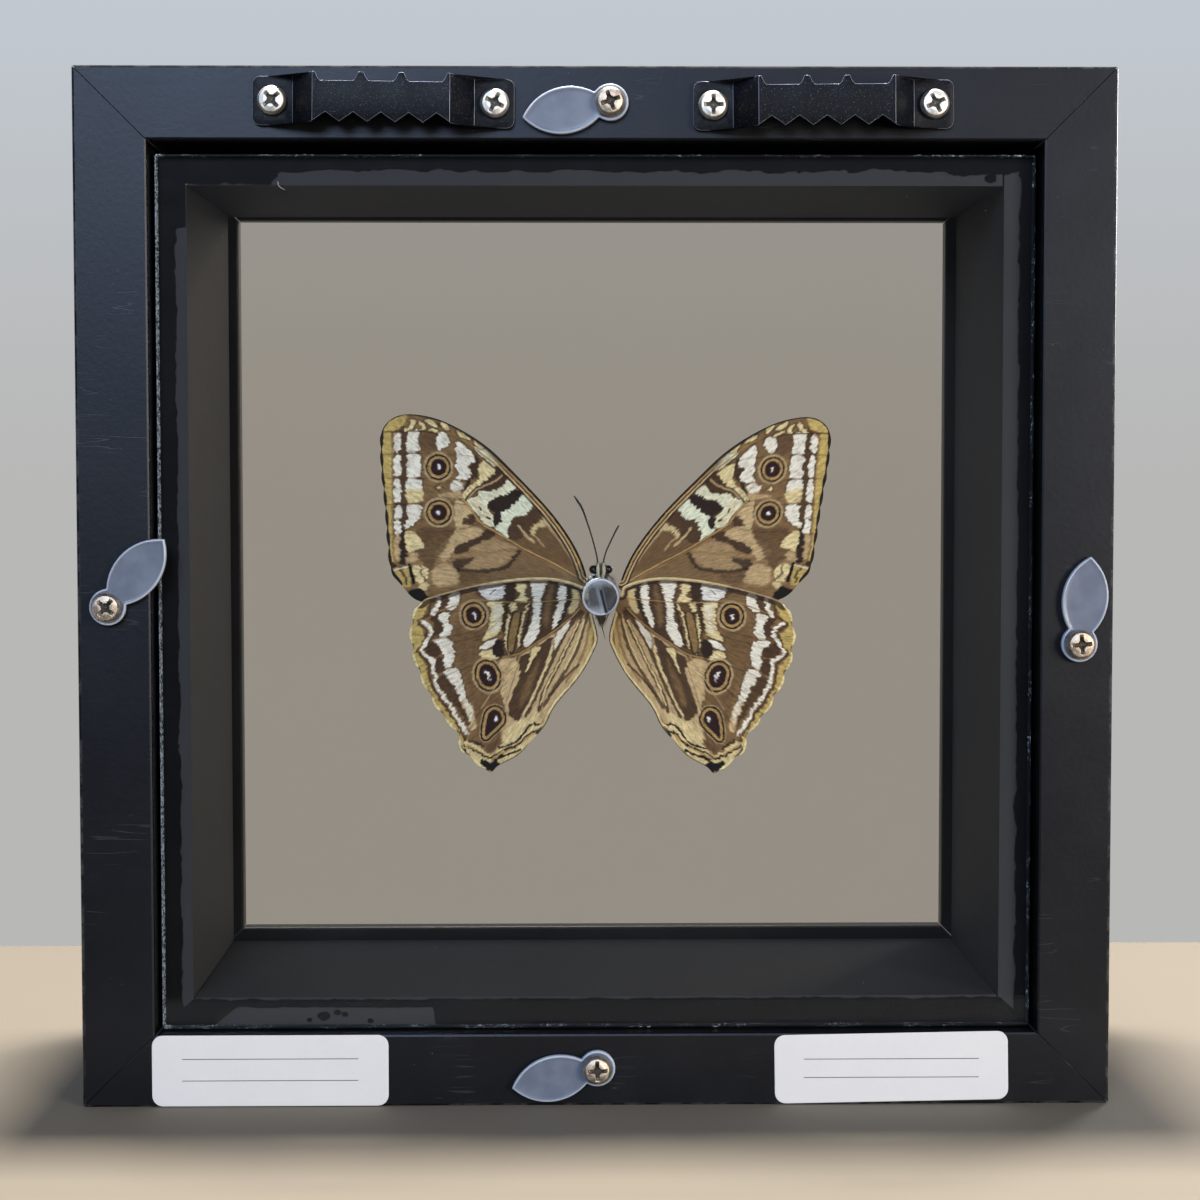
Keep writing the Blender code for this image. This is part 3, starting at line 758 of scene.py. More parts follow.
def ring(u, v, across, up, turn_deg=0.0, count=12):
    """Points round an ellipse."""
    t = np.linspace(0, ROUND, count, endpoint=False)
    c, s = math.cos(math.radians(turn_deg)), math.sin(math.radians(turn_deg))
    x, y = across * np.cos(t), up * np.sin(t)
    return np.stack([u + x * c - y * s, v + x * s + y * c], 1)


# Outlines from the root round by the front edge, and which points are the tip, the corner behind it and the
# last before the root.
EDGE_STEPS = 6
SCALLOPS = 8
FORE_CORNERS = (8, 13, 17)
HIND_CORNERS = (6, 15, 24)
FOREWING = (
    (3.5, 3.0), (5.8, 8.7), (10.4, 15.3), (17.0, 22.4), (23.7, 28.8), (31.1, 33.2),
    (37.0, 35.0), (41.8, 34.8), (44.8, 32.0), (45.2, 26.5), (44.4, 17.0), (43.8, 9.0),
    (43.2, 3.8), (41.2, 1.0), (37.0, -2.6), (25.0, -3.8), (12.0, -3.0), (3.8, 0.4),
)
HINDWING = (
    (3.5, -1.0), (4.6, 0.9), (10.6, 2.4), (18.0, 2.2), (25.8, 0.9), (34.2, -1.3),
    (37.0, -2.7), (39.0, -6.5), (39.0, -11.5), (38.0, -15.5), (35.8, -20.5), (32.8, -25.5),
    (30.0, -28.8), (28.8, -32.6), (26.1, -34.7), (23.1, -36.8), (21.3, -35.5), (17.3, -33.3),
    (14.5, -30.3), (11.9, -27.3), (9.8, -23.3), (4.9, -17.4), (1.9, -12.1), (1.2, -9.3),
    (2.2, -5.0),
)

# Veins that stand up from the membrane.
FORE_VEINS = (
    ((4.3, 2.0), (10.0, 5.2), (15.3, 7.8), (18.7, 9.7), (21.3, 11.3), (24.7, 13.3), (26.7, 16.0),
        (28.4, 18.1)),
    ((18.0, 8.5), (21.0, 8.0), (25.0, 7.2), (29.8, 6.6), (36.0, 6.0), (43.0, 5.2)),
    ((24.7, 13.3), (28.5, 12.2), (34.0, 11.6), (44.0, 10.9)),
    ((27.4, 17.0), (31.0, 17.3), (37.0, 17.2), (44.6, 17.1)),
    ((28.4, 18.1), (29.0, 20.6), (33.0, 22.2), (38.0, 22.3), (45.0, 22.3)),
    ((19.8, 22.6), (25.0, 26.2), (31.0, 27.2), (38.0, 27.3), (45.2, 27.2)),
    ((5.2, 5.2), (10.2, 13.2), (16.8, 20.2), (23.2, 26.4), (29.6, 30.6), (36.4, 31.8), (44.8, 31.6)),
    ((24.0, 27.6), (30.0, 31.9), (35.8, 33.9), (41.0, 34.3)),
)
HIND_VEINS = (
    ((4.6, -1.8), (10.0, -2.2), (14.3, -2.5), (20.0, -2.5), (26.5, -2.3), (34.5, -4.8)),
    ((4.8, -3.8), (6.7, -5.7), (10.0, -8.3), (13.3, -10.5), (16.7, -12.7), (18.7, -13.3), (20.3, -13.6)),
    ((17.7, -13.4), (20.3, -17.2), (24.8, -24.0), (28.5, -31.0)),
    ((16.0, -12.2), (18.2, -18.0), (20.2, -25.0), (22.6, -35.0)),
    ((20.3, -13.6), (26.0, -15.2), (31.0, -17.0), (36.0, -20.0)),
    ((20.3, -5.6), (24.5, -9.0), (30.0, -10.6), (38.6, -13.0)),
    ((18.0, -2.5), (21.0, -5.8), (27.0, -8.5), (33.0, -9.6), (39.0, -9.0)),
    ((20.3, -13.6), (26.5, -21.0), (32.5, -24.6)),
)


def paint_forewing(points, seed):
    """The underside of a forewing, from its ground colour outwards to its edge lines."""
    art = Painter(points, GROUND, seed)
    line, patch = art.line, art.patch
    loop = curve(FOREWING, EDGE_STEPS, True)
    tip, corner, _ = (k * EDGE_STEPS for k in FORE_CORNERS)
    lead, margin = loop[: tip + 1], loop[tip : corner + 1]

    # Lower field: dusky brown with lighter ovals.
    patch(ROSE, ((4.5, 2.4), (17, 8.2), (24, 11.3), (33, 10.8), (38, 8), (41, 4), (36, 0.5), (20, 0.8),
        (8, 1.5)), 0.6, 0.35)
    patch(DUSK, ((17.2, 8.0), (19.5, 5.2), (23.5, 3.6), (29, 3.9), (33.5, 5.2), (31, 2.4), (27, 1.2),
        (18, 1.6), (8, 2.6), (11, 5)), 0.5, 0.5)
    patch(UMBER, ((21.8, 11.2), (23.8, 12.0), (25.3, 10.4), (27.7, 9.8), (30.2, 8.4), (30.0, 7.1),
        (28.3, 7.4), (26.7, 8.4), (24.7, 9.6), (22.6, 10.2)), 0.16, 0.95)
    patch(ROSE, ((17.6, 8.1), (20, 9.5), (22.7, 9.9), (25, 9.1), (26.8, 7.9), (23.3, 7.7), (20, 8.0)),
        0.25, 0.75)
    patch(ROSE, ((17.6, 7.3), (20, 7.6), (23.3, 7.3), (26.4, 6.7), (26.2, 6.0), (28.4, 4.8), (26.7, 3.9),
        (23.3, 4.1), (20.8, 4.9), (19.2, 6.0)), 0.25, 0.8)
    line(BISTER, ((17.0, 7.6), (18.2, 6.0), (19.4, 4.7), (22.5, 3.9), (26.5, 3.6), (29.4, 4.0)), 0.75,
        0.2, 0.8, fine=False)
    patch(BISTER, ((26.0, 6.4), (28.3, 6.2), (30.2, 5.9), (30.6, 4.3), (29.3, 3.7), (28.3, 4.6),
        (26.8, 5.6)), 0.2, 0.8)
    patch(DUSK, ((24, 3.2), (28.5, 3.4), (31.0, 3.0), (30.2, 1.0), (27.0, 0.6)), 0.4, 0.7)

    # The cell: bars of mint and brown between the front edge and the long middle vein.
    patch(DUSK, ((5.5, 5.5), (9.5, 12.2), (12.2, 14.9), (14.4, 11.4), (18.2, 9.4), (13.0, 6.8),
        (7.5, 4.4)), 0.5, 0.65)
    line(BUFF, ((5.6, 4.8), (8.2, 9.0), (11.0, 12.6)), 0.5, 0.2, 0.55)
    patch(UMBER, ((12.2, 15.2), (13.4, 16.2), (14.6, 16.0), (16.0, 14.7), (18.2, 14.4), (19.0, 13.2),
        (19.5, 11.3), (18.9, 9.9), (17.0, 10.1), (14.8, 11.2), (14.7, 12.6), (13.3, 13.4)), 0.12, 0.85)
    patch(CREAM * 0.86, ((10.6, 12.9), (11.7, 14.8), (12.5, 13.6), (14.0, 13.0), (14.9, 11.5),
        (14.2, 10.9), (13.5, 12.1), (12.0, 12.6)), 0.2, 0.85)
    line(BUFF, ((14.2, 9.6), (16.0, 11.2), (17.0, 12.7)), 0.55, 0.12, 0.85, fine=False)
    line(BUFF, ((12.0, 8.6), (13.4, 10.4), (14.6, 11.2)), 0.35, 0.15, 0.6, fine=False)
    patch(MINT, ((14.2, 16.7), (14.9, 18.3), (16.2, 19.1), (17.7, 17.4), (19.3, 16.2), (20.9, 15.4),
        (20.6, 14), (21.5, 12.9), (22.2, 12.5), (21.3, 11.6), (20.2, 11.0), (19.3, 10.1), (19.3, 11.7),
        (18.8, 13.4), (18.2, 14.4), (16.2, 14.8), (15, 15.8)))
    patch(MILK, ((17.5, 20.5), (18.7, 21.5), (19.8, 21.6), (20.5, 20.4), (22.7, 19.9), (24.6, 19.7),
        (26.2, 18.7), (27.8, 17.8), (26.5, 16.2), (25.1, 14.6), (24.2, 13.2), (22.2, 12.6), (22.2, 14.7),
        (23.3, 16.0), (23.5, 17), (22.7, 18), (21.2, 18.8), (20, 18.9), (18.5, 19.6)))
    patch(BUFF, ((22.6, 13.4), (24.0, 13.6), (25.4, 15.4), (26.8, 17.4), (25.6, 18.4), (24.4, 16.2),
        (23.2, 15.2)), 0.5, 0.5)
    patch(BISTER * 1.1, ((16.3, 19.3), (17.3, 19.9), (18.7, 19.7), (20, 18.7), (21.3, 18.7), (23, 17.7),
        (23.5, 16.8), (22.7, 15.8), (22, 15.3), (22.3, 13.0), (21.6, 12.7), (20.6, 13.8), (20.8, 15.1),
        (19.7, 15.9), (18.0, 17.2), (16.8, 18.3)))
    line(UMBER, ((24.8, 15.9), (25.1, 16.6)), 0.35)
    line(UMBER, ((23.0, 14.2), (23.6, 14.5)), 0.4)

    # Band beyond the cell.
    patch(UMBER, ((19.6, 23.9), (21.0, 24.9), (22.2, 23.4), (23.3, 22.3), (24, 21.6), (25.7, 20.7),
        (26.7, 20.5), (27.7, 19), (28.4, 17.9), (27.5, 18.1), (26.3, 19.2), (24.7, 19.8), (22.7, 19.9),
        (20.6, 20.6), (19.5, 21.8), (18.9, 22.7)), 0.1, 0.95)
    line(BUFF, ((20.4, 22.9), (21.8, 21.8), (23.6, 21.0), (25.6, 20.1), (27.6, 18.2)), 0.34, 0.1, 0.8)
    line(BLACK, ((25.2, 21.2), (26.9, 19.9), (28.2, 18.1)), 1.05, 0.1, 0.85)
    line(CREAM, ((25.3, 21.3), (26.8, 20.0), (28.5, 18.1)), 0.55, 0.08)
    line(BLACK, ((27.2, 21.9), (27.9, 20.0), (29.0, 18.3)), 0.75, 0.08, 0.85)
    line(CREAM, ((26.0, 21.2), (27.4, 20.2), (28.7, 18.5)), 0.4, 0.08)
    patch(CREAM, ((21.8, 24.1), (23.2, 25.3), (24.9, 25.8), (25.3, 24.2), (24.8, 22.8), (25.8, 21.6),
        (25.3, 20.9), (24.2, 21.6), (23.3, 22.4), (22.2, 23.4)), 0.12)
    patch(MILK, ((20.5, 25.4), (21.7, 26.5), (23.3, 27.9), (25.1, 28.6), (26.0, 28.3), (24.9, 27.0),
        (23.4, 25.9), (22.0, 24.7)), 0.12, 0.9)
    line(GOLD * 0.8, ((21.3, 24.9), (23.8, 26.6), (26.2, 28.6), (29.4, 30.6)), 0.22, 0.08, 0.9)
    patch(UMBER, ((25.2, 25.4), (25.3, 26.8), (26.0, 27.0), (26.0, 25.6), (27.2, 24.8), (26.9, 23.8),
        (26.8, 23), (27.8, 22.2), (26.7, 22.1), (25.4, 22.7), (25.2, 24)), 0.1)
    patch(WHITE, ((26.0, 25.6), (26.3, 27.1), (27.7, 28.6), (29.4, 29.7), (29.9, 28), (29.5, 26.6),
        (29.8, 24.7), (29.3, 23.4), (29.8, 22.2), (28.3, 22.0), (26.9, 22.6), (26.8, 23.7), (27.4, 24.5),
        (27.0, 25.3)))
    patch(WHITE * 0.9, ((28.3, 21.1), (29.3, 21.8), (30.7, 21.5), (31.1, 20.3), (29.8, 19.7),
        (28.7, 20.1)), 0.18)
    patch(BUFF, ((28.2, 19.6), (30.4, 19.6), (33.6, 18.9), (30.6, 18.4), (28.8, 18.4)), 0.2, 0.7)

    # Outer field: buff patches below the lower eyespot, then dusk.
    patch(BUFF, ((26.6, 16.1), (28.3, 17.5), (29.9, 18.0), (30.0, 16.3), (30.2, 14.7), (30.0, 12.6),
        (28.7, 12.7), (27.3, 14.1), (26.2, 15.0)), 0.12)
    patch(UMBER, ((25.6, 14.8), (27.1, 14.9), (28.6, 13.1), (27.3, 12.7), (25.9, 13.5)), 0.12, 0.9)
    patch(BUFF, ((24.5, 11.9), (26.7, 12.8), (29.4, 12.7), (31.0, 10.3), (33.0, 8.9), (34.4, 7.2),
        (31.8, 5.6), (30.4, 8.0), (28.3, 9.5), (26.3, 10.2), (24.9, 11.0)), 0.15, 0.85)
    patch(DUSK, ((30.4, 12.6), (34, 12.4), (37.4, 12.2), (38.4, 9.0), (37.6, 6.0), (34.6, 5.2),
        (32.6, 7.6), (31.0, 10.0)), 0.4, 0.85)
    patch(BUFF, ((29.6, 3.4), (31.0, 4.9), (33.6, 4.7), (35.0, 2.9), (34.0, 0.6), (31.0, 0.9),
        (29.2, 1.4)), 0.35, 0.75)
    patch(DUSK, ((34.2, 5.6), (36.2, 5.4), (36.6, 3.6), (35.4, 3.4), (34.4, 4.4)), 0.2, 0.8)

    # Broken white bands, cut by veins, between brown lines and the ochre margin.
    patch(UMBER, ((39.7, 32.2), (41.3, 31.9), (41.4, 26), (41.2, 20), (41.2, 14), (41.6, 9), (41.4, 5.2),
        (39.8, 5.6), (40.0, 12), (39.6, 18), (39.8, 25)), 0.12, 0.75)
    patch(BISTER, ((40.0, 11.6), (41.3, 11.4), (41.3, 8), (41.2, 5.2), (39.9, 5.2), (40.2, 8.4)), 0.25,
        0.9)
    patch(WHITE, ((37.3, 31.8), (39.6, 31.7), (39.8, 29.6), (39.8, 27.6), (38.0, 27.5), (37.0, 28.4),
        (37.6, 29.6)))
    patch(WHITE, ((37.2, 27.1), (39.8, 27.1), (39.7, 25.0), (39.8, 22.7), (37.4, 22.6), (37.1, 24.6)))
    patch(WHITE, ((37.2, 22.1), (39.8, 22.1), (39.8, 20.0), (36.8, 19.8), (36.6, 21.0)))
    patch(CREAM, ((36.7, 20.0), (39.8, 20.1), (39.6, 17.6), (37.3, 17.5), (36.6, 18.7)), 0.25, 0.9)
    patch(WHITE, ((37.0, 16.9), (39.6, 16.9), (39.8, 14.7), (40.3, 12.2), (38.3, 13.2), (37.1, 14.9)),
        0.12)
    patch(CREAM, ((38.3, 11.4), (40.3, 11.4), (40.2, 9.4), (39.7, 7.4), (38.2, 7.9), (36.5, 8.7)), 0.14)
    patch(BUFF, ((37.7, 7.2), (39.8, 6.9), (39.8, 5.3), (38.0, 5.6)), 0.3, 0.7)
    for low, high in ((27.7, 31.5), (22.8, 27.1), (17.6, 22.2), (14.0, 16.9), (11.0, 13.9)):
        patch(WHITE, ((41.4, high), (42.3, high - 0.3), (42.5, (low + high) / 2), (42.3, low),
            (41.3, low + 0.1), (41.0, (low + high) / 2)), 0.1)
    patch(BUFF, ((41.5, 10.6), (42.5, 10.4), (42.4, 6.0), (41.4, 6.2)), 0.3, 0.8)
    patch(OCHRE, ((39.9, 34.9), (42.6, 34.9), (45.4, 32.6), (45.9, 29), (45.6, 24), (45.0, 16),
        (44.6, 10), (44.0, 5.1), (42.7, 5.2), (42.8, 9), (42.9, 14), (42.8, 20), (42.9, 25), (42.8, 29),
        (43.0, 31.5), (41.6, 32.2), (40.5, 33.2)), 0.12)
    line(GOLD * 0.75, ((41.4, 31.9), (42.8, 30.0), (42.8, 25), (42.75, 20), (42.85, 14), (42.8, 9),
        (42.5, 5.4)), 0.34, 0.08, 0.9)
    line(UMBER, ((32.5, 31.2), (36.4, 31.7), (40.4, 31.8), (44.9, 31.7)), 0.3, 0.1, 0.9)

    # Light marks towards the tip.
    patch(WHITE, ((32.0, 31.3), (33.4, 31.4), (33.9, 29.3), (33.3, 28), (32.1, 28.4), (31.1, 29.9)))
    for spot in (
        ((31.2, 32.6), (32.5, 33.6), (33.1, 33.3), (31.7, 32.0)),
        ((33.5, 32.9), (35.3, 34.2), (36.1, 33.8), (34.0, 32.6)),
        ((26.9, 30.3), (28.3, 31.4), (29.7, 31.9), (29.0, 30.8), (27.7, 30.2)),
        ((33.3, 31.9), (34.8, 32.4), (35.4, 32.1), (33.5, 31.5)),
        ((24.3, 28.5), (25.3, 29.5), (26.3, 30.2), (25.7, 29), (24.6, 28.2)),
        ((36.0, 33.0), (37.4, 33.8), (36.7, 32.5), (37.0, 31.9), (36.1, 32.2)),
        ((37.9, 33.8), (38.7, 34.1), (39.2, 33), (40.3, 32.1), (39.7, 31.8), (38.4, 32.6)),
    ):
        patch(CREAM, spot, 0.1)
    patch(UMBER, ((33.9, 31.2), (36.4, 31.4), (37.2, 30.0), (36.8, 27.9), (35.0, 27.6), (33.6, 28.2),
        (34.1, 29.6)), 0.3, 0.5)

    # Tornus: mottled cream, yellow and near-black.
    patch(OCHRE, ((39.6, 4.4), (42.9, 3.8), (43.2, 2.2), (41.6, 0.6), (39.4, 0.4), (39.4, 2.6)), 0.2, 0.85)
    patch(CREAM, ((35.6, 3.8), (37.0, 4.8), (38.8, 4.4), (38.4, 2.6), (37.8, 1.2), (36.1, 1.6)), 0.15)
    line(BLACK, ((39.4, 4.8), (39.0, 3.2), (38.6, 1.3)), 0.7, 0.1)
    line(BISTER, ((41.2, 4.1), (40.4, 2.6), (40.2, 1.0)), 0.6, 0.15, 0.8, fine=False)
    line(BISTER, ((36.9, 4.6), (37.0, 3.0), (36.0, 1.6)), 0.4, 0.12, 0.8, fine=False)
    patch(BISTER, ((42.4, 5.3), (43.8, 5.4), (43.5, 3.9), (42.0, 4.3)), 0.15, 0.9)
    patch(CREAM, ((35.4, 1.2), (37.0, 1.0), (37.4, -0.2), (35.8, -0.2)), 0.2, 0.7)
    patch(BLACK, ((36.0, -0.9), (37.2, 0.2), (38.4, -0.1), (39.6, -0.7), (38.5, -2.4), (37.0, -2.8),
        (35.6, -1.9)), 0.12)
    line(tone(214, 205, 198), ((39.7, 4.5), (41.6, 4.0), (43.6, 3.3)), 0.22, 0.06)

    # Veins, fine dark threads across the bands, and the lines of the front edge.
    for path in FORE_VEINS[2:6]:
        line(UMBER, path, 0.17, 0.06, 0.55)
    line(BISTER, FORE_VEINS[0], 0.62, 0.12, 0.45)
    line(GOLD, FORE_VEINS[0], 0.36, 0.07)
    line(GOLD * 0.9, FORE_VEINS[1][:4], 0.22, 0.06, 0.8)
    art.eye(ring(33.4, 24.55, 1.62, 1.68), ring(33.42, 24.65, 0.24, 0.48, 12))
    art.eye(ring(33.3, 15.45, 1.66, 1.62), ring(33.42, 15.45, 0.36, 0.34))
    patch(CREAM, ((33.2, 20.9), (33.35, 20.45), (33.8, 20.3), (33.35, 20.15), (33.2, 19.9), (33.05, 20.2),
        (32.6, 20.3), (33.05, 20.45)), 0.08)
    inward, along = to_path(art.fine, lead)
    base = smooth(0.62, 0.42, along)
    art.lay(smooth(1.95, 1.75, inward) * base * 0.8, BISTER)
    art.lay(smooth(1.50, 1.38, inward) * base * 0.9, BUFF)
    art.lay(smooth(1.14, 1.04, inward) * base, BISTER)
    art.lay(smooth(0.88, 0.78, inward) * base, GOLD)
    thin = smooth(0.5, 0.9, along)
    art.lay(smooth(0.50 - 0.22 * thin, 0.36 - 0.2 * thin, inward), BLACK)
    art.lay(smooth(0.75, 0.45, inward) * smooth(0.35, 0.5, along) * smooth(0.8, 0.6, along) * 0.8, BISTER)
    gap, along = to_path(art.fine, margin)
    nick = np.abs(np.sin(along * math.pi * SCALLOPS))
    art.lay(smooth(0.42 + 0.25 * nick, 0.24 + 0.25 * nick, gap), BISTER)
    return art.colours


def paint_hindwing(points, seed):
    """The underside of a hindwing: bars at its base, a fan of rays, three eyespots and zigzag borders."""
    art = Painter(points, GROUND, seed)
    line, patch = art.line, art.patch
    loop = curve(HINDWING, EDGE_STEPS, True)
    tip, tail, root = (k * EDGE_STEPS for k in HIND_CORNERS)
    lead, margin, inner = loop[: tip + 1], loop[tip : tail + 1], loop[tail : root + 1]

    patch(DUSK, ((24, -4), (29, -5.5), (30.4, -9.5), (29.8, -14.5), (27.5, -19), (25.6, -26), (22.8, -33),
        (19.4, -27), (20.6, -21), (24, -13.6)), 0.5, 0.45)
    # Bars at the base.
    patch(UMBER, ((5.0, 0.2), (9.2, 1.6), (13, 2.3), (20, 2.0), (26, 0.6), (25, -1.6), (20.5, -3),
        (20.3, -8.2), (20.6, -13.4), (16, -12.2), (10, -8), (5.5, -4.4)), 0.3, 0.6)
    patch(CREAM * 0.9, ((5.0, -0.4), (6.6, 0.1), (6.4, -1.8), (7.2, -4.0), (6.6, -4.8), (5.2, -3.2)), 0.2,
        0.8)
    patch(BISTER, ((6.4, 0.1), (7.3, 0.4), (7.6, -2.0), (8.4, -4.7), (9.8, -7.3), (9.4, -8.0),
        (7.6, -5.0), (6.4, -2)), 0.14, 0.9)
    patch(WHITE, ((7.5, 0.6), (9.0, 1.6), (9.1, 0), (9.2, -2.3), (9.6, -4.3), (10.2, -6), (10.4, -7.4),
        (9.7, -7.4), (8.4, -4.7), (7.8, -2.3)))
    patch(UMBER, ((9.0, 1.8), (11.3, 2.0), (12.0, 0), (12.6, -2.3), (12.9, -5), (13.0, -8.3),
        (13.7, -10.2), (11.7, -9.4), (10.4, -8), (10.3, -6), (9.7, -3.7), (9.2, -1)), 0.12, 0.8)
    patch(GROUND, ((10.2, 0.5), (11.0, 0.2), (11.8, -3), (12.1, -6), (11.4, -7.5), (10.8, -4.5)), 0.5, 0.7)
    patch(WHITE, ((11.3, 1.9), (14.4, 1.9), (14.5, 0), (14.0, -2), (14.3, -3), (14.2, -5), (14.8, -6.7),
        (15.7, -9), (16.2, -10.7), (15.7, -11.5), (14.3, -10.4), (13.0, -8.3), (12.8, -5), (12.5, -2),
        (11.9, 0.5)))
    patch(CREAM, ((15.9, 1.1), (17.3, 1.3), (17.6, 0), (16.7, -1), (17.8, -2.2), (15.2, -2.3),
        (15.7, -1)), 0.14)
    line(CREAM, ((15.1, -3.0), (16.0, -4.9), (16.7, -7.7), (17.1, -9.7), (17.4, -11.6)), 0.36, 0.1,
        fine=False)
    line(BISTER, ((14.5, -3.3), (15.3, -6.0), (16.1, -9.0), (16.8, -11.6)), 0.42, 0.1, 0.9, fine=False)
    patch(CREAM, ((17.6, -2.5), (18.7, -2.7), (18.9, -4.4), (18.2, -4.4), (17.4, -3.3)), 0.12)
    patch(CREAM, ((19.0, -4.8), (19.5, -6.3), (19.8, -8.5), (19.6, -11.6), (19.0, -13.0), (19.3, -9.0),
        (18.9, -6.7)), 0.12)
    patch(GOLD * 0.62, ((16.6, -4.9), (18.3, -4.9), (19.0, -7.0), (19.3, -10.0), (19.2, -12.0),
        (18.5, -12.8), (17.9, -11.0), (17.3, -8.3)), 0.14)
    line(BISTER, ((16.6, -4.6), (17.2, -8.0), (17.9, -11.0), (18.4, -12.7), (19.3, -12.2), (19.3, -9.5),
        (18.8, -6.8), (18.2, -4.7)), 0.34, 0.08, 0.95)
    patch(BISTER * 1.15, ((17.7, 1.7), (20.0, 1.7), (19.9, -0.3), (19.8, -2.7), (20.3, -4.7),
        (20.5, -8.3), (20.0, -8.3), (19.6, -5.4), (19.0, -2.7), (18.0, -2.2), (17.8, -0.3)), 0.12, 0.8)

    # White band down the middle, and the buff one under it.
    patch(tone(208, 208, 212), ((20.2, 1.7), (22.7, 1.5), (25.0, 0.7), (24.8, -1), (23.3, -2.1),
        (20.6, -1.9), (19.9, -0.3)))
    line(BISTER, ((21.8, 0.0), (22.4, -0.4), (22.9, -0.9)), 0.2, 0.06)
    patch(CREAM, ((20.4, -2.7), (23.4, -2.6), (22.8, -4), (22.9, -5.7), (23.1, -7.2), (23.5, -8.6),
        (24.6, -10.2), (23, -9.9), (21.2, -8.8), (20.5, -6.3)), 0.12)
    patch(WHITE, ((20.8, -3.0), (22.4, -3.4), (22.0, -6.0), (22.4, -8.6), (21.0, -7.8), (20.8, -5.4)),
        0.3, 0.6)
    patch(WHITE, ((21.6, -10.0), (23.3, -10.4), (25.0, -11.8), (24, -12.0), (22.3, -11.2)), 0.1)
    patch(CREAM, ((22.6, -12.3), (24.9, -12.6), (24.8, -13.6), (23.3, -14.2), (21.2, -13.9)), 0.12)
    patch(BISTER * 1.2, ((20.2, -10.3), (21.6, -10.2), (22.5, -11.7), (22.4, -13), (21.3, -13.7),
        (20.1, -13)), 0.1)
    patch(BUFF, ((17.2, -15), (18.6, -13.7), (20.4, -13.9), (21.3, -14.9), (20.4, -16.3), (20.2, -18.3),
        (20.8, -20.3), (20.2, -23.3), (19.5, -24.6), (18.7, -22), (17.7, -19.7), (17.1, -17)), 0.12)

    # Fan of rays under the long diagonal vein.
    patch(BUFF, ((4.6, -5), (9.8, -8.6), (16.6, -13.0), (18.6, -20.0), (20.0, -26), (20.5, -30.5),
        (16, -29.5), (12.8, -27), (9.5, -22), (5.0, -16.5), (2.4, -11.5), (3.0, -6.5)), 0.3, 0.9)
    patch(CREAM * 0.93, ((12.9, -24.4), (16.2, -26.0), (19.2, -27.8), (20.6, -30.6), (17.0, -29.8),
        (14.4, -27.6)), 0.3, 0.8)
    patch(UMBER, ((10.3, -9.6), (11.9, -10.3), (14.0, -12.1), (16.6, -13.4), (17.1, -14.6), (16.9, -17.0),
        (18.2, -20.3), (19.0, -22.7), (19.3, -24.8), (17.4, -26.4), (16.3, -25), (15, -23.3), (14.3, -21),
        (13.3, -19), (12.3, -16.7), (11.2, -13.4)), 0.12, 0.95)
    patch(GROUND, ((13.0, -14.0), (14.2, -16.0), (16.4, -20), (17.0, -23.6), (15.6, -22.0),
        (14.2, -18.6)), 0.5, 0.7)
    patch(CREAM * 0.95, ((12.6, -11.7), (14.3, -11.7), (14.9, -13.7), (15.7, -16.6), (15.0, -15.6),
        (14.0, -13.6)), 0.1)
    line(UMBER, ((4.6, -4.2), (6.9, -7.4), (9.2, -11.2), (10.6, -14.3), (12.4, -18.3), (14.4, -22.6),
        (15.8, -25.2)), 0.95, 0.12, 0.9, fine=False)
    patch(WHITE, ((6.5, -5.9), (8, -7.2), (9.6, -9.2), (9.9, -12.0), (9.1, -11), (7.9, -9)), 0.12, 0.9)
    line(CREAM, ((10.5, -11.6), (11.2, -14.7), (12.9, -18.3), (14.3, -21.6), (16.3, -25.2)), 0.5, 0.12,
        0.85, fine=False)
    line(UMBER, ((4.2, -4.6), (6.2, -9.2), (8.3, -13.3), (10.4, -17.4), (12.3, -21.2), (13.1, -24.2)),
        0.85, 0.15, 0.9, fine=False)
    line(UMBER, ((3.4, -5.2), (5.0, -11.0), (7.2, -15.4), (9.8, -19.6), (12.2, -23.4)), 0.75, 0.15, 0.85,
        fine=False)
    line(GOLD * 0.7, ((2.7, -6.2), (3.6, -11.2), (5.4, -15.2), (7.6, -18.4)), 0.55, 0.15, 0.85, fine=False)
    line(OCHRE, ((2.2, -7.0), (2.8, -11.4), (4.4, -15.6)), 0.5, 0.12, 0.9)
    line(UMBER, ((5.0, -15.0), (6.8, -16.6), (9.2, -19.2), (11.0, -21.4)), 0.4, 0.1, 0.85)
    line(CREAM, ((3.9, -6.0), (5.6, -11.4), (7.8, -15.8)), 0.3, 0.1, 0.9)
    line(CREAM, ((5.0, -6.2), (7.0, -10.6), (9.0, -14.6), (11.2, -18.8), (12.8, -23.0)), 0.32, 0.1, 0.9,
        fine=False)

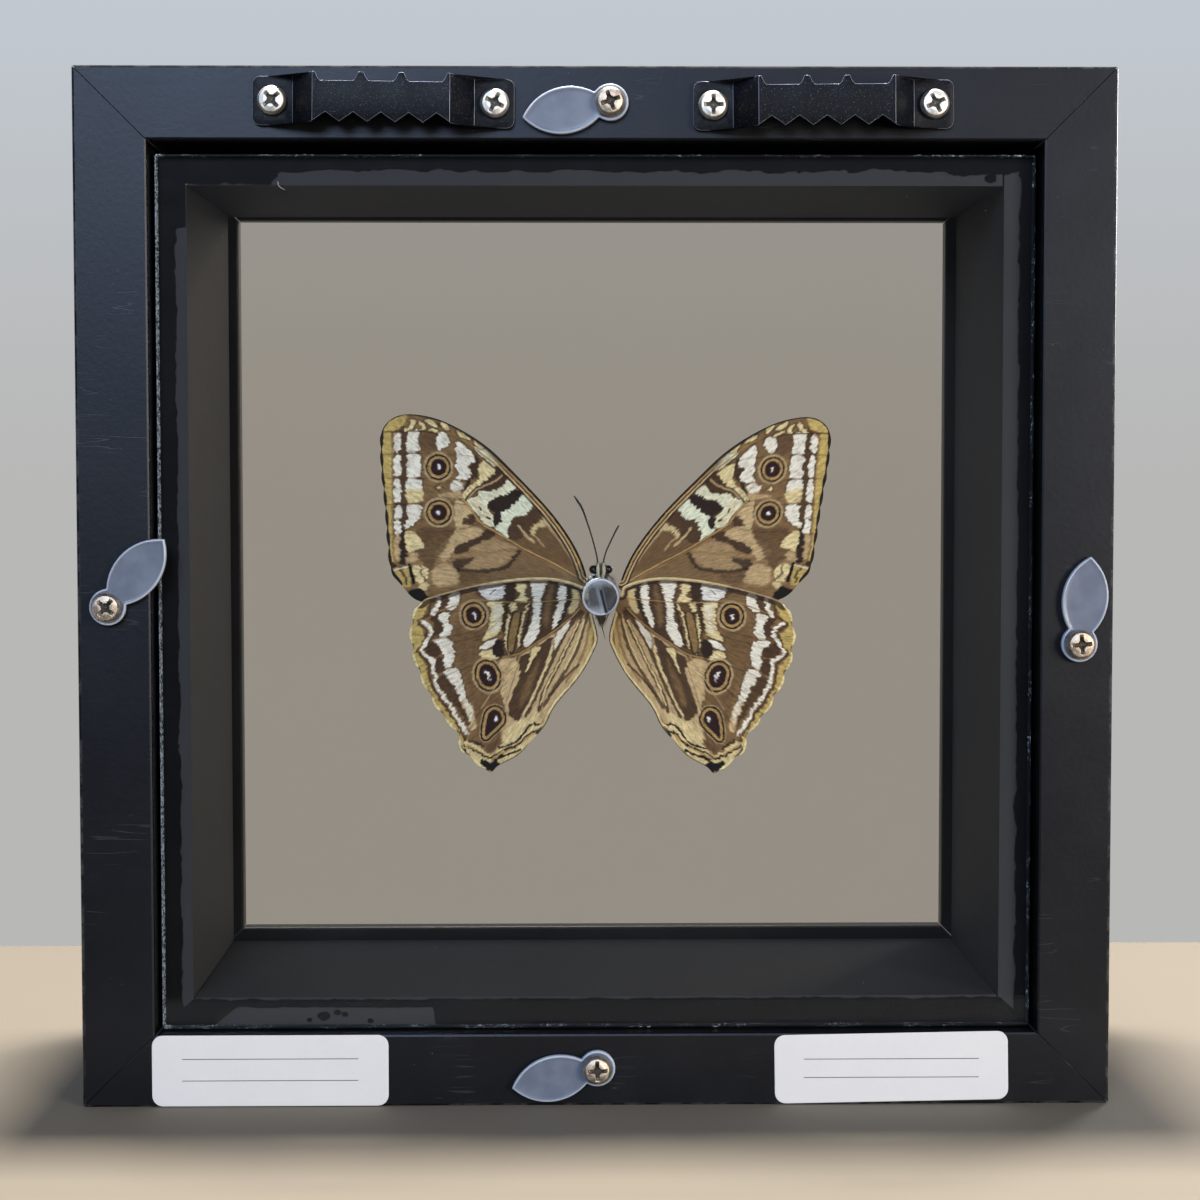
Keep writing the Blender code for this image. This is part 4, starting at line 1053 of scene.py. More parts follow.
    # Outer borders, from inside out.
    patch(WHITE, ((29.2, -0.5), (31.1, -0.6), (31.2, -2), (31.9, -3.9), (31, -4.3), (29.6, -3.3),
        (29.2, -2)))
    patch(WHITE, ((31.5, -4.7), (33.4, -5), (33.7, -5.7), (32.7, -6.7), (32.7, -8), (33.3, -9.8),
        (32, -9.8), (30.9, -8.4), (31.3, -6.3)))
    patch(WHITE, ((30.6, -10.7), (32, -10.0), (34.2, -10.2), (34.1, -10.9), (32.7, -12), (32.4, -13.3),
        (32.3, -15.3), (31.3, -15.9), (30.4, -14.7), (30.3, -12.7)))
    patch(WHITE * 0.92, ((29.2, -16.4), (30.7, -15.8), (32.3, -16.7), (31.6, -17.8), (30.5, -19.1),
        (29.7, -20.9), (28.9, -22.5), (27.5, -22.9), (28.2, -20.3), (28.7, -18.3)))
    patch(BUFF, ((27.1, -23.0), (28.9, -22.6), (28.5, -24.1), (27.7, -26.1), (27.2, -28.1), (26.0, -28.3),
        (25.9, -26.7), (26.4, -24.7)), 0.14)
    patch(WHITE, ((27.2, -23.1), (28.3, -22.9), (27.7, -25.0), (26.9, -26.6), (26.6, -25.0)), 0.2, 0.7)
    patch(UMBER, ((31.1, -0.6), (33.1, -1.0), (33.3, -2.7), (34.2, -4.9), (33.3, -4.8), (31.9, -3.5),
        (31.4, -1.7)), 0.12, 0.8)
    patch(UMBER, ((34, -5.0), (35.3, -5.2), (34.7, -6.4), (34.2, -7.4), (35.0, -8.7), (35.3, -10),
        (36.1, -12), (35.2, -13.3), (33.7, -13.6), (32.6, -12.6), (33.3, -11.3), (34.7, -10.7),
        (34.6, -9.7), (33.3, -9.3), (32.7, -7.7), (33.3, -6.3)), 0.1, 0.9)
    patch(UMBER, ((32.8, -13.8), (34.3, -14.2), (33.9, -16.8), (32.8, -16.8), (32.1, -15.7)), 0.1, 0.9)
    patch(UMBER, ((32, -17.2), (33.8, -18), (33.7, -19), (32, -21.3), (30.3, -23.3), (29, -25.2),
        (27.7, -27.4), (27.2, -27.0), (28.2, -24.3), (29.6, -21.7), (30.5, -20), (30.9, -18.3)), 0.14,
        0.8)
    line(WHITE, ((33.5, -1.4), (33.6, -3.2), (34.6, -5.0)), 0.85, 0.1, fine=False)
    line(WHITE, ((36.8, -6.4), (35.0, -7.8), (35.3, -9.6), (36.9, -12.2), (35.5, -13.7), (34.5, -14.4),
        (34.7, -15.6), (34.0, -18.0)), 0.72, 0.1, fine=False)
    line(WHITE * 0.95, ((34.2, -18.5), (32.8, -21.2), (31.1, -23.4), (30.2, -25.3), (29.0, -27.2),
        (27.6, -29.0)), 0.75, 0.12, fine=False)
    line(UMBER, ((35.2, -3.2), (35.4, -5.0), (37.6, -6.6), (36.0, -8.0), (36.2, -9.6), (37.9, -12.3),
        (36.3, -14.0), (35.4, -15.2), (35.4, -17.6), (34.6, -19.6), (33.2, -22.2), (31.6, -24.2),
        (30.6, -26.2), (29.4, -28.2), (28.0, -30.6)), 0.62, 0.12, 0.75)
    patch(OCHRE, ((35.2, -1.4), (36.6, -1.6), (38.2, -3.6), (40.2, -6.4), (40.4, -10), (39.8, -14),
        (38.2, -17), (37.4, -20.5), (35.4, -23.4), (33.6, -26.0), (31.2, -28.8), (30.0, -31.2),
        (28.4, -31.2), (29.1, -28.9), (30.6, -26.6), (31.9, -24.5), (33.4, -22.6), (34.8, -20.0),
        (35.7, -17.7), (36.0, -15.6), (37.2, -13.8), (37.9, -12.4), (36.7, -10.4), (36.6, -8.3),
        (37.9, -6.8), (36.4, -5.2), (35.6, -3.4)), 0.1, 0.95)

    # Marks at the tail.
    patch(CREAM, ((13.0, -26.6), (16.2, -28.8), (20.0, -30.6), (23.4, -33.0), (26.6, -30.6),
        (28.9, -31.0), (28.6, -33.6), (23.2, -37), (17, -33.6), (12.4, -29)), 0.2, 0.8)
    line(BLACK, ((12.9, -27.0), (14.8, -27.2), (15.8, -28.4), (17.4, -30.4), (19.4, -31.4),
        (21.4, -32.0)), 0.42, 0.1, fine=False)
    line(GOLD, ((14.2, -28.6), (16.6, -30.6), (19.8, -32.6), (22.6, -34.0), (25.4, -32.8), (27.6, -31.4)),
        0.5, 0.12, 0.9)
    line(BLACK, ((13.2, -28.2), (15.2, -29.0), (17.0, -31.0), (19.4, -32.0), (21.8, -33.2), (23.2, -33.9),
        (25.0, -33.2), (27.2, -32.0), (28.4, -31.3)), 0.36, 0.1, fine=False)
    line(BLACK, ((16.8, -32.1), (18.6, -33.0), (20.6, -33.6), (22.0, -34.4)), 0.5, 0.1, fine=False)
    line(BISTER, ((24.4, -31.6), (26.0, -31.0), (27.0, -30.4)), 0.6, 0.12, 0.9, fine=False)
    patch(BLACK, ((12.0, -27.4), (13.2, -27.9), (14.0, -29.2), (13.0, -29.4)), 0.12)
    patch(BLACK, ((27.6, -33.3), (28.7, -31.5), (29.5, -32.6), (28.8, -34.1)), 0.12)
    patch(BLACK, ((21.2, -34.9), (22.4, -34.6), (23.2, -34.9), (24.5, -34.1), (25.0, -35.2),
        (23.7, -37.2), (21.6, -36.4)), 0.12)

    # Eyespots, veins and edges.
    art.eye(ring(26.25, -5.15, 1.62, 1.70),
        ((26.1, -4.6), (26.4, -4.9), (26.3, -5.6), (26.0, -6.0), (25.9, -5.2)))
    art.eye(ring(23.4, -17.3, 1.75, 2.35, -18),
        ((23.0, -17.6), (23.2, -16.8), (24.0, -16.3), (24.0, -16.8), (23.3, -17.8)))
    patch(PUPIL, ring(23.1, -18.3, 0.16, 0.2), 0.06, 0.8)
    drop = ((22.0, -24.2), (23.2, -24.8), (23.7, -26.2), (24.0, -28.0), (24.0, -29.7), (22.8, -28.7),
        (21.4, -27.4), (20.6, -26.2), (20.9, -24.9))
    art.eye(drop, ring(21.7, -26.0, 0.36, 0.52, 20), 0.25)
    patch(DUSK, ((20.6, -30.2), (22.6, -31.0), (24.2, -31.2), (23.2, -33.0), (22.2, -32.8)), 0.3, 0.8)
    for path in HIND_VEINS[2:]:
        line(UMBER, path, 0.18, 0.07, 0.5)
    line(GOLD * 0.8, HIND_VEINS[0], 0.22, 0.07, 0.85)
    line(BISTER, HIND_VEINS[1], 0.7, 0.12, 0.6)
    line(GOLD * 0.75, HIND_VEINS[1], 0.34, 0.07)
    line(BUFF, HIND_VEINS[2][:3], 0.2, 0.07, 0.7)
    down, along = to_path(art.fine, lead)
    near = smooth(0.72, 0.5, along)
    art.lay(smooth(1.35, 1.1, down) * 0.85, BISTER)
    art.lay(smooth(0.36 + 0.3 * near, 0.24 + 0.3 * near, down), BUFF * 0.7)
    art.lay(smooth(0.42, 0.3, down) * near * 0.8, CREAM)
    gap, along = to_path(art.fine, margin)
    nick = np.abs(np.sin(along * math.pi * SCALLOPS + 0.4))
    art.lay(smooth(0.62, 0.45, gap) * smooth(0.5, 0.2, nick) * 0.8, BISTER)
    art.lay(smooth(0.36, 0.22, gap) * smooth(0.15, 0.4, nick), tone(214, 200, 160))
    gap, along = to_path(art.fine, inner)
    art.lay(smooth(0.75, 0.55, gap) * smooth(0.3, 0.45, along), CREAM)
    art.lay(smooth(0.26, 0.14, gap) * smooth(0.28, 0.4, along), UMBER)
    art.lay(smooth(0.24, 0.14, gap) * smooth(0.3, 0.2, along) * 0.8, BISTER)
    return art.colours


def paint_upper(points, margin, seed):
    """The display side: shining blue, darker towards the body and the veins, with a sooty border."""
    art = Painter(points, tone(44, 104, 176), seed)
    gap, _ = to_path(art.ragged, margin)
    reach = np.hypot(points[:, 0], points[:, 1])
    art.lay(0.5 * rough(points, 6.0, seed + 9), tone(70, 140, 205))
    art.lay(smooth(13.0, 5.0, reach) * 0.7, tone(50, 44, 40))
    art.lay(smooth(8.5, 5.0, gap + 1.6 * (rough(points, 3.0, seed + 3) - 0.5)), tone(25, 22, 24))
    for k in range(7):
        u, v = margin[int((k + 0.7) * len(margin) / 7.6)] * 0.94
        art.patch(tone(196, 200, 205), ring(u, v, 0.42, 0.6), 0.12, 0.8)
    return art.colours


def wing_grid(outline, corners, rows, columns, scallop):
    """Points of a wing as a blend of its four edges: each is the mean of the two pairs of opposite edges'
    straight blends, less the blend of the corners. The outer edge is scalloped to this height."""
    loop = curve(outline, 8, True)
    apex, tail, root = (8 * k for k in corners)
    lead = spaced(loop[: apex + 1], rows)
    outer = spaced(loop[apex : tail + 1], columns)
    ahead = np.gradient(outer, axis=0)
    outwards = np.stack([-ahead[:, 1], ahead[:, 0]], 1) / np.linalg.norm(ahead, axis=1)[:, None]
    outwards *= np.sign(((outer - loop.mean(0)) * outwards).sum(1))[:, None]
    along = np.linspace(0, 1, columns)
    lobes = np.abs(np.sin(along * math.pi * SCALLOPS + 0.4 * scallop)) - 0.6
    outer = outer + (scallop * lobes * smooth(0, 0.05, along) * smooth(1, 0.95, along))[:, None] * outwards
    trail = spaced(loop[tail : root + 1][::-1], rows)
    base = spaced(np.vstack([loop[root:], loop[:1]])[::-1], columns)
    s = np.linspace(0, 1, rows)[:, None, None]
    t = np.linspace(0, 1, columns)[None, :, None]
    across = (1 - t) * lead[:, None] + t * trail[:, None]
    along = (1 - s) * base[None] + s * outer[None]
    corner = (1 - s) * ((1 - t) * base[0] + t * base[-1]) + s * ((1 - t) * outer[0] + t * outer[-1])
    return across + along - corner


def wing_relief(flat, veins, seed):
    """How far the membrane stands out, in millimetres: raised veins, soft troughs between, a waviness."""
    nearest = np.full(len(flat), np.inf)
    for path in veins:
        gap, _ = to_path(flat, curve(path, 4))
        nearest = np.minimum(nearest, gap)
    wave = rough(flat, 9.0, seed, 2) - 0.5
    return 0.10 * np.exp(-((nearest / 0.22) ** 2)) + 0.16 * np.exp(-nearest / 1.6) + 0.5 * wave


def wing(name, outline, corners, shape, scallop, veins, painter, side, y, lean, seed):
    """A closed thin sheet: its rear face has the underside's pattern and its front face the upper side's."""
    rows, columns = shape
    grid = wing_grid(outline, corners, rows, columns, scallop)
    flat = grid.reshape(-1, 2)
    under = painter(flat, seed)
    loop = curve(outline, EDGE_STEPS, True)
    upper = paint_upper(flat, loop[corners[0] * EDGE_STEPS : corners[1] * EDGE_STEPS + 1], seed + 5)
    relief = wing_relief(flat, veins, seed)
    (uu, uv), (vu, vv), shift = lean
    u = uu * flat[:, 0] + uv * flat[:, 1]
    v = vu * flat[:, 0] + vv * flat[:, 1] + shift
    edge = np.minimum.reduce([to_path(flat, spaced(loop, 160))[0], np.full(len(flat), 0.5)])
    thick = 0.02 + 0.04 * smooth(0, 0.4, edge)

    def placed(out):
        away = out * MM
        x = SPECIMEN[0] + side * u * MM * math.cos(WING_RISE) + side * math.sin(WING_RISE) * away
        back = y + u * MM * math.sin(WING_RISE) - math.cos(WING_RISE) * away
        return np.stack([x, back, SPECIMEN[2] + v * MM], 1).reshape(rows, columns, 3)

    places, faces = slab(placed(relief + thick), placed(relief - thick))
    piece = build(name + "_scaled", places, faces, slot="wing_scales", replaces=[name])
    lifted = 1.1 * np.vstack([under, upper]) ** 1.12 * [1.95, 1.74, 1.36]
    away, angle = rays(flat)
    ray = np.stack([angle * 75, away * 0.5, 0 * away + seed], 1)
    attribute(piece, "ray", np.vstack([ray, ray]), "FLOAT_VECTOR")
    attribute(piece, "scales", lifted / (1 + lifted**3 * 0.35) ** (1 / 3), "FLOAT_COLOR")
    return wear(piece, WING)


def wings():
    """Both pairs: the right ones are leant and stretched a little, because no specimen is quite even."""
    straight = ((1, 0), (0, 1), 0)
    fore = (FOREWING, FORE_CORNERS, (240, 200), 0.3, FORE_VEINS, paint_forewing)
    hind = (HINDWING, HIND_CORNERS, (200, 240), 0.75, HIND_VEINS, paint_hindwing)
    wing("forewing_left", *fore, -1, -0.0002, straight, 11)
    wing("forewing_right", *fore, 1, -0.0002, ((0.973, 0.077), (0.029, 0.973), -0.8), 23)
    wing("hindwing_left", *hind, -1, -0.0012, straight, 37)
    wing("hindwing_right", *hind, 1, -0.0012, ((0.994, 0.007), (-0.018, 1.004), 0.2), 41)


# ---------------------------------------------------------------- body


def hairs(roots, ways, lengths, radius, seed, sag=0.25):
    """Tapered three-sided hairs: each is its root plus its way times the distance along, with a random sag."""
    rng = np.random.default_rng(seed)
    count, steps = len(roots), 4
    t = np.linspace(0, 1, steps)[None, :, None]
    ways = ways / np.linalg.norm(ways, axis=1)[:, None]
    drift = rng.normal(0, 1, (count, 3))
    path = roots[:, None] + (ways[:, None] * t + sag * drift[:, None] * t**2) * lengths[:, None, None]
    side = np.cross(ways, rng.normal(0, 1, (count, 3)))
    side /= np.linalg.norm(side, axis=1)[:, None]
    other = np.cross(ways, side)
    turn = np.arange(3) * ROUND / 3
    spread = np.cos(turn)[None, :, None] * side[:, None] + np.sin(turn)[None, :, None] * other[:, None]
    girth = (radius * (1 - 0.85 * t[0, :, 0]))[None, :, None, None]
    places = (path[:, :, None] + girth * spread[:, None]).reshape(-1, 3)
    at = np.arange(count * steps * 3).reshape(count, steps, 3)
    around = np.concatenate([at, at[:, :, :1]], 2)
    quads = np.stack([around[:, :-1, :-1], around[:, :-1, 1:], around[:, 1:, 1:], around[:, 1:, :-1]], -1)
    tris = np.concatenate([at[:, 0, ::-1], at[:, -1]])
    return places, quads.reshape(-1, 4), tris


def fur(centre, radii, count, length, seed, radius=0.000045):
    """Hairs all over an ellipsoid, leaning down and out."""
    rng = np.random.default_rng(seed)
    unit = rng.normal(0, 1, (count, 3))
    unit /= np.linalg.norm(unit, axis=1)[:, None]
    roots = np.asarray(centre) + unit * np.asarray(radii) * 0.95
    ways = unit + [0, 0, -0.9] + rng.normal(0, 0.25, (count, 3))
    return hairs(roots, ways, length * rng.uniform(0.5, 1.2, count), radius, seed + 1)


def insect():
    """Thorax, head and the stub of the abdomen under short fur; eyes, palps, feelers and dry legs."""
    middle, z = 0.0012, SPECIMEN[2]
    thorax = ((0.0015, -0.0024, z - 0.0004), (0.0026, 0.0022, 0.0041))
    head = ((middle, -0.0028, z + 0.0041), (0.0015, 0.0014, 0.0013))
    stub = ((0.0013, -0.0022, z - 0.0046), (0.0009, 0.0010, 0.0020))
    parts = [blob(*thorax, 0.06, 3), blob(*head, 0.06, 5), blob(*stub, 0.15, 7)]
    parts += [fur(*thorax, 1500, 0.0011, 21), fur(*head, 350, 0.0006, 23), fur(*stub, 400, 0.0009, 25)]
    body = build("butterfly_thorax_and_head", *joined(parts), slot="body_hair",
        replaces=["butterfly_body"])
    wear(body, hair_look())

    eyes = [blob((middle + side * 0.00148, -0.0036, z + 0.0042),
        (0.00085, 0.0010, 0.00085)) for side in (-1, 1)]
    eye_look = horn_look("eye_horn", (0.006, 0.005, 0.005), (0.02, 0.016, 0.014), 0.15)
    wear(build("butterfly_eyes", *joined(eyes), slot="antenna_black"), eye_look)

    palps = []
    for side in (-1, 1):
        route = ((0.55, -4.6, 3.0), (0.6, -5.0, 4.4), (0.5, -4.7, 5.6))
        path = curve([(middle + side * x * MM, y * MM, z + up * MM) for x, y, up in route], 6)
        girth = np.interp(np.linspace(0, 1, len(path)), (0, 0.5, 1), (0.00030, 0.00036, 0.00012))
        palps.append(tube(path, girth))
        tuft = (middle + side * 0.00055, -0.0049, z + 0.0044)
        palps.append(fur(tuft, (0.0003, 0.0002, 0.0012), 90, 0.0004, 31 + side, 0.00003))
    palp_look = horn_look("pale_palp_hair", (0.52, 0.45, 0.27), (0.88, 0.80, 0.56), 0.7)
    wear(build("butterfly_palps", *joined(palps), slot="body_hair"), palp_look)

    feeler = horn_look("feeler_horn", (0.006, 0.005, 0.005), (0.02, 0.016, 0.013), 0.4)
    routes = {
        "left": ((0.62, -3.0, 5.2), (0.38, -2.4, 7.0), (-0.31, -2.2, 9.8), (-1.43, -1.8, 13.4),
            (-2.54, -1.5, 16.4), (-4.10, -1.2, 18.8)),
        "right": ((1.62, -3.0, 5.2), (2.2, -2.4, 7.5), (3.04, -2.0, 9.4), (4.16, -1.6, 11.7),
            (4.84, -1.4, 12.9)),
    }
    for side, route in routes.items():
        path = curve(np.array(route) * MM + [0, 0, z], 10)
        along = np.linspace(0, 1, len(path))
        club = 0.00024 if side == "left" else 0.00018
        girth = np.interp(along, (0, 0.08, 0.55, 0.9, 1), (0.00022, 0.00015, 0.00016, club, 0.00010))
        girth = girth * (1 + 0.12 * np.sin(along * 150))
        piece = build("feeler_" + side, *tube(path, girth, 12), slot="antenna_black",
            replaces=["antenna_" + side])
        wear(piece, feeler)

    strands = (
        ((0.9, -3.2, -3.4), (0.9, -4.0, -5.2), (1.5, -3.8, -6.6), (1.6, -3.4, -8.0)),
        ((2.3, -3.2, -3.2), (2.0, -4.2, -5.4), (1.6, -3.8, -7.0)),
        ((1.4, -3.4, -4.0), (1.1, -4.1, -6.0), (1.6, -3.8, -7.9), (2.1, -3.2, -9.7)),
        ((2.8, -3.0, -2.2), (2.7, -3.9, -4.6), (2.0, -3.6, -6.2)),
        ((0.2, -3.0, -2.4), (0.5, -3.9, -4.8), (1.2, -3.7, -6.4)),
    )
    legs = []
    for k, strand in enumerate(strands):
        path = curve(np.array(strand) * MM + [0, 0, z], 8)
        along = np.linspace(0, 1, len(path))
        girth = np.interp(along, (0, 0.3, 0.6, 1), (0.00016, 0.00012, 0.00010, 0.00004))
        legs.append(tube(path, girth * (1 + 0.15 * np.sin(along * 60 + k)), 8))
    leg_look = horn_look("leg_horn", (0.05, 0.024, 0.013), (0.15, 0.08, 0.045), 0.5)
    wear(build("butterfly_legs", *joined(legs), slot="antenna_black"), leg_look)


# ---------------------------------------------------------------- hardware


def disc(centre, profile, around=96, turn_deg=0.0, dent=None):
    """A turned form about Y: rings at each (radius, out), out towards the back; dent lowers points by
    what it gives for their place across the head."""
    profile = np.asarray(profile, float)
    turn = np.linspace(0, ROUND, around, endpoint=False)[None, :]
    across, up = profile[:, :1] * np.cos(turn), profile[:, :1] * np.sin(turn)
    out = profile[:, 1:] + 0 * turn
    low = np.zeros_like(out)
    if dent:
        c, s = math.cos(math.radians(turn_deg)), math.sin(math.radians(turn_deg))
        low = dent(across * c + up * s, up * c - across * s, out)
        out = out - low
    return loft(np.stack([centre[0] + across, centre[1] - out, centre[2] + up], -1)), low


def screws():
    """Pan heads: a domed profile with a cross recess whose walls ease down over a short distance."""
    head_r, head_h = 0.0027, 0.0019
    slots = {f"hanger_screw_{k + 1}": 40 + 25 * k for k in range(4)}
    slots |= {"button_screw_top": 20, "button_screw_left": 50, "button_screw_right": 5,
        "button_screw_bottom": 2}
    r = np.linspace(0.03, 1, 44)
    dome = np.interp(r, (0, 0.5, 0.82, 0.95, 1), (1, 0.975, 0.86, 0.56, 0.22)) * head_h
    shank = [(0.98, 0), (0.48, 0), (0.48, -0.0085), (0.05, -0.0100)]
    profile = [(a * head_r, b) for a, b in zip(r, dome)] + [(a * head_r, b) for a, b in shank]

    def cross(a, b, out):
        reach, half, hub, deepest = 0.0018, 0.00034, 0.00075, 0.0010
        one = np.maximum(np.abs(a) / reach, np.abs(b) / half)
        other = np.maximum(np.abs(b) / reach, np.abs(a) / half)
        away = np.hypot(a, b)
        inside = smooth(1.12, 0.82, np.minimum(np.minimum(one, other), away / hub))
        return np.where(out > 0, deepest * inside * smooth(1.15 * reach, 0.3 * reach, away) ** 0.5, 0)

    pale = nickel_look("pale_nickel_plate", (0.66, 0.60, 0.50), (0.92, 0.88, 0.82))
    tan = nickel_look("tan_nickel_plate", (0.42, 0.33, 0.24), (0.74, 0.64, 0.52))
    for name, turn_deg in slots.items():
        low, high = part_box(name)
        centre = ((low.x + high.x) / 2, low.y + head_h, (low.z + high.z) / 2)
        (places, quads, tris), sunk = disc(centre, profile, 144, turn_deg, cross)
        piece = build(name + "_head", places, quads, tris, slot="nickel_plate", replaces=[name])
        # deep marks the cross recess, for the painted shade there.
        attribute(piece, "deep", np.concatenate([smooth(0.0002, 0.0009, sunk).ravel(), [0.0, 0.0]]))
        wear(piece, pale if name.startswith("hanger") else tan)


def bevelled(name, width, new_name):
    """A copy of a solid, its loose triangles merged, with small round edges; worn is 1 at those edges."""
    source = NODES[name]
    mesh = source.data.copy()
    form = bmesh.new()
    form.from_mesh(mesh)
    bmesh.ops.remove_doubles(form, verts=form.verts, dist=0.000002)
    bmesh.ops.dissolve_limit(form, angle_limit=math.radians(1.5), verts=form.verts, edges=form.edges)
    sharp = [e for e in form.edges if len(e.link_faces) == 2 and e.calc_face_angle(0) > math.radians(24)]
    shape = {"offset": width, "segments": 2, "profile": 0.5, "affect": "EDGES", "clamp_overlap": True}
    rounded = set(bmesh.ops.bevel(form, geom=sharp, **shape)["faces"])
    form.verts.index_update()
    worn = np.array([float(all(f in rounded for f in v.link_faces)) for v in form.verts])
    bmesh.ops.triangulate(form, faces=form.faces)
    form.normal_update()
    form.to_mesh(mesh)
    form.free()
    mesh.name = new_name
    mesh.shade_smooth()
    mesh.set_sharp_from_angle(angle=math.radians(50))
    piece = bpy.data.objects.new(new_name, mesh)
    bpy.context.scene.collection.objects.link(piece)
    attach(piece, source["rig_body"])
    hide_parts(name)
    attribute(piece, "worn", worn)
    return piece


def hangers():
    """Each strip with rounded edges, rubbed bright at its edges and bends."""
    steel = steel_look()
    edge = 0.24 * MM
    for name in ("hanger_left", "hanger_right"):
        wear(bevelled(name, edge, name + "_strip"), steel)


def button_outline(count=220):
    """A leaf between two equal arcs and a round lobe about the screw: the farther of the two, by angle."""
    reach, lobe, half, start = 0.0164, 0.0034, 0.0043, 0.0003
    chord = reach - start
    middle = start + chord / 2
    radius = (chord**2 / 4 + half**2) / (2 * half)
    sink = radius - half
    spread = math.asin(chord / 2 / radius)
    turn = np.linspace(-spread, spread, 200)
    upper = np.stack([middle + radius * np.sin(turn), radius * np.cos(turn) - sink], 1)
    away = np.hypot(*upper.T)
    upper = upper[away > lobe * 1.02][::-1]
    begin = math.atan2(upper[-1][1], upper[-1][0])
    arc = np.linspace(begin + 0.05, ROUND - begin - 0.05, 90)
    round_end = lobe * np.stack([np.cos(arc), np.sin(arc)], 1)
    loop = np.vstack([upper, round_end, (upper * [1, -1])[::-1]])
    return spaced(np.vstack([loop, loop[:1]]), count + 1)[:-1]


def buttons():
    """Each button swells from its edge: rings shrink towards the button's middle line as they rise."""
    frosted = frosted_look()
    points = {"top": 190.0, "left": 50.0, "right": 83.0, "bottom": 193.0}
    outline = button_outline()
    spine = np.stack([np.clip(outline[:, 0], 0.0, 0.0135), 0 * outline[:, 1]], 1)
    reach = np.linalg.norm(outline - spine, axis=1)[:, None]
    inward = (spine - outline) / reach
    thick = 0.0015
    closed = 0.01  # an inset past the middle line everywhere
    rings = ((0.00000, 0.35), (0.00003, 0.18), (0.00012, 0.05), (0.00030, 0.0))
    below = [(closed, 0.0)] + [(inset, height) for inset, height in reversed(rings)]
    above = [(inset, 1 - height) for inset, height in rings]
    above += [(0.00042, 1.0), (0.00060, 0.955), (0.0010, 0.94), (0.0018, 0.94), (closed, 0.94)]
    joints = {j["child"]: j["pos_m"] for j in frame["joints"]}
    for side, turn_deg in points.items():
        cx, _, cz = joints[side + "_button"]
        low_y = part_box("turn_button_" + side)[1].y
        c, s = math.cos(math.radians(turn_deg)), math.sin(math.radians(turn_deg))
        made = []
        for inset, height in below + above:
            flat = outline + inward * np.minimum(inset, 0.93 * reach)
            x, z = cx + flat[:, 0] * c - flat[:, 1] * s, cz + flat[:, 0] * s + flat[:, 1] * c
            made.append(np.stack([x, np.full(len(x), low_y - height * thick), z], 1))
        name = "turn_button_" + side
        form = loft(np.array(made))
        piece = build(name + "_leaf", *form, True, side + "_button", "frosted_plastic", [name])
        # Painted highlight along the edge, stronger on the outer face than on the face against the rail.
        edge = [float(smooth(0.00050, 0.00025, d)) * (0.8 if h > 0.5 else 0.3) for d, h in below + above]
        attribute(piece, "rim", np.concatenate([np.repeat(edge, len(outline)), [0.0, 0.0]]))
        piece.data.set_sharp_from_angle(angle=math.radians(60))
        wear(piece, frosted)


def labels():
    """Thin sheets with round corners, their rims eased down to the rail, ruled with two plain lines."""
    sheets = {
        "left": {"wide": 0.0443, "tall": 0.0134, "turn_deg": 0.0, "ruled": (0.0022, -0.0019)},
        "right": {"wide": 0.0440, "tall": 0.0130, "turn_deg": 0.9, "ruled": (0.0016, -0.0019)},
    }
    corner, ruled_half = 0.0020, 0.0165
    rims = ((0.0, 0.05), (0.0, 0.14), (0.00005, 0.16), (0.0003, 0.16), (0.002, 0.16), (0.0045, 0.16))
    turn = np.linspace(0, math.pi / 2, 12)
    for side, sheet in sheets.items():
        low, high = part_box("label_" + side)
        cx, cz = (low.x + high.x) / 2, (low.z + high.z) / 2
        half_wide, half_tall = sheet["wide"] / 2, sheet["tall"] / 2
        arcs = []
        for k, (sx, sz) in enumerate(((1, 1), (-1, 1), (-1, -1), (1, -1))):
            a = turn + k * math.pi / 2
            across = sx * (half_wide - corner) + corner * np.cos(a)
            up = sz * (half_tall - corner) + corner * np.sin(a)
            arcs.append(np.stack([across, up], 1))
        outline = np.vstack(arcs)
        outline = spaced(np.vstack([outline, outline[:1]]), 241)[:-1]
        c, s = math.cos(math.radians(sheet["turn_deg"])), math.sin(math.radians(sheet["turn_deg"]))
        rings = [(outline * 0.9, 0.05)]
        rings += [(outline * [1 - inset / half_wide, 1 - inset / half_tall], out) for inset, out in rims]
        made = []
        for flat, out in rings:
            x, z = cx + flat[:, 0] * c - flat[:, 1] * s, cz + flat[:, 0] * s + flat[:, 1] * c
            made.append(np.stack([x, np.full(len(x), REAR_Y - out * MM), z], 1))
        name = "label_" + side
        piece = build(name + "_paper", *loft(np.array(made)), slot="white_paper", replaces=[name])
        piece.data.set_sharp_from_angle(angle=math.radians(40))
        wear(piece, paper_look([(cx, ruled_half, cz + up) for up in sheet["ruled"]]))


def post():
    """A clear rod with softly rounded rims and a hardly domed end."""
    low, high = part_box("acrylic_post")
    radius, length = (high.x - low.x) / 2, high.y - low.y
    bend = np.linspace(0, math.pi / 2, 6)
    rim = 0.0003
    near = [(radius - rim + rim * math.sin(b), length - rim + rim * math.cos(b)) for b in bend]
    far = [(radius - rim + rim * math.cos(b), rim - rim * math.sin(b)) for b in bend]
    flat = [(radius * k, length) for k in (0.05, 0.35, 0.65, 0.85)]
    back = [(radius * k, 0.0) for k in (0.85, 0.5, 0.05)]
    sides = [(radius, length * k) for k in (0.85, 0.6, 0.35, 0.1)]
    centre = ((low.x + high.x) / 2, high.y, (low.z + high.z) / 2)
    form, _ = disc(centre, flat + near + sides + far + back, 96)
    wear(build("acrylic_rod", *form, slot="clear_acrylic", replaces=["acrylic_post"]), acrylic_look())


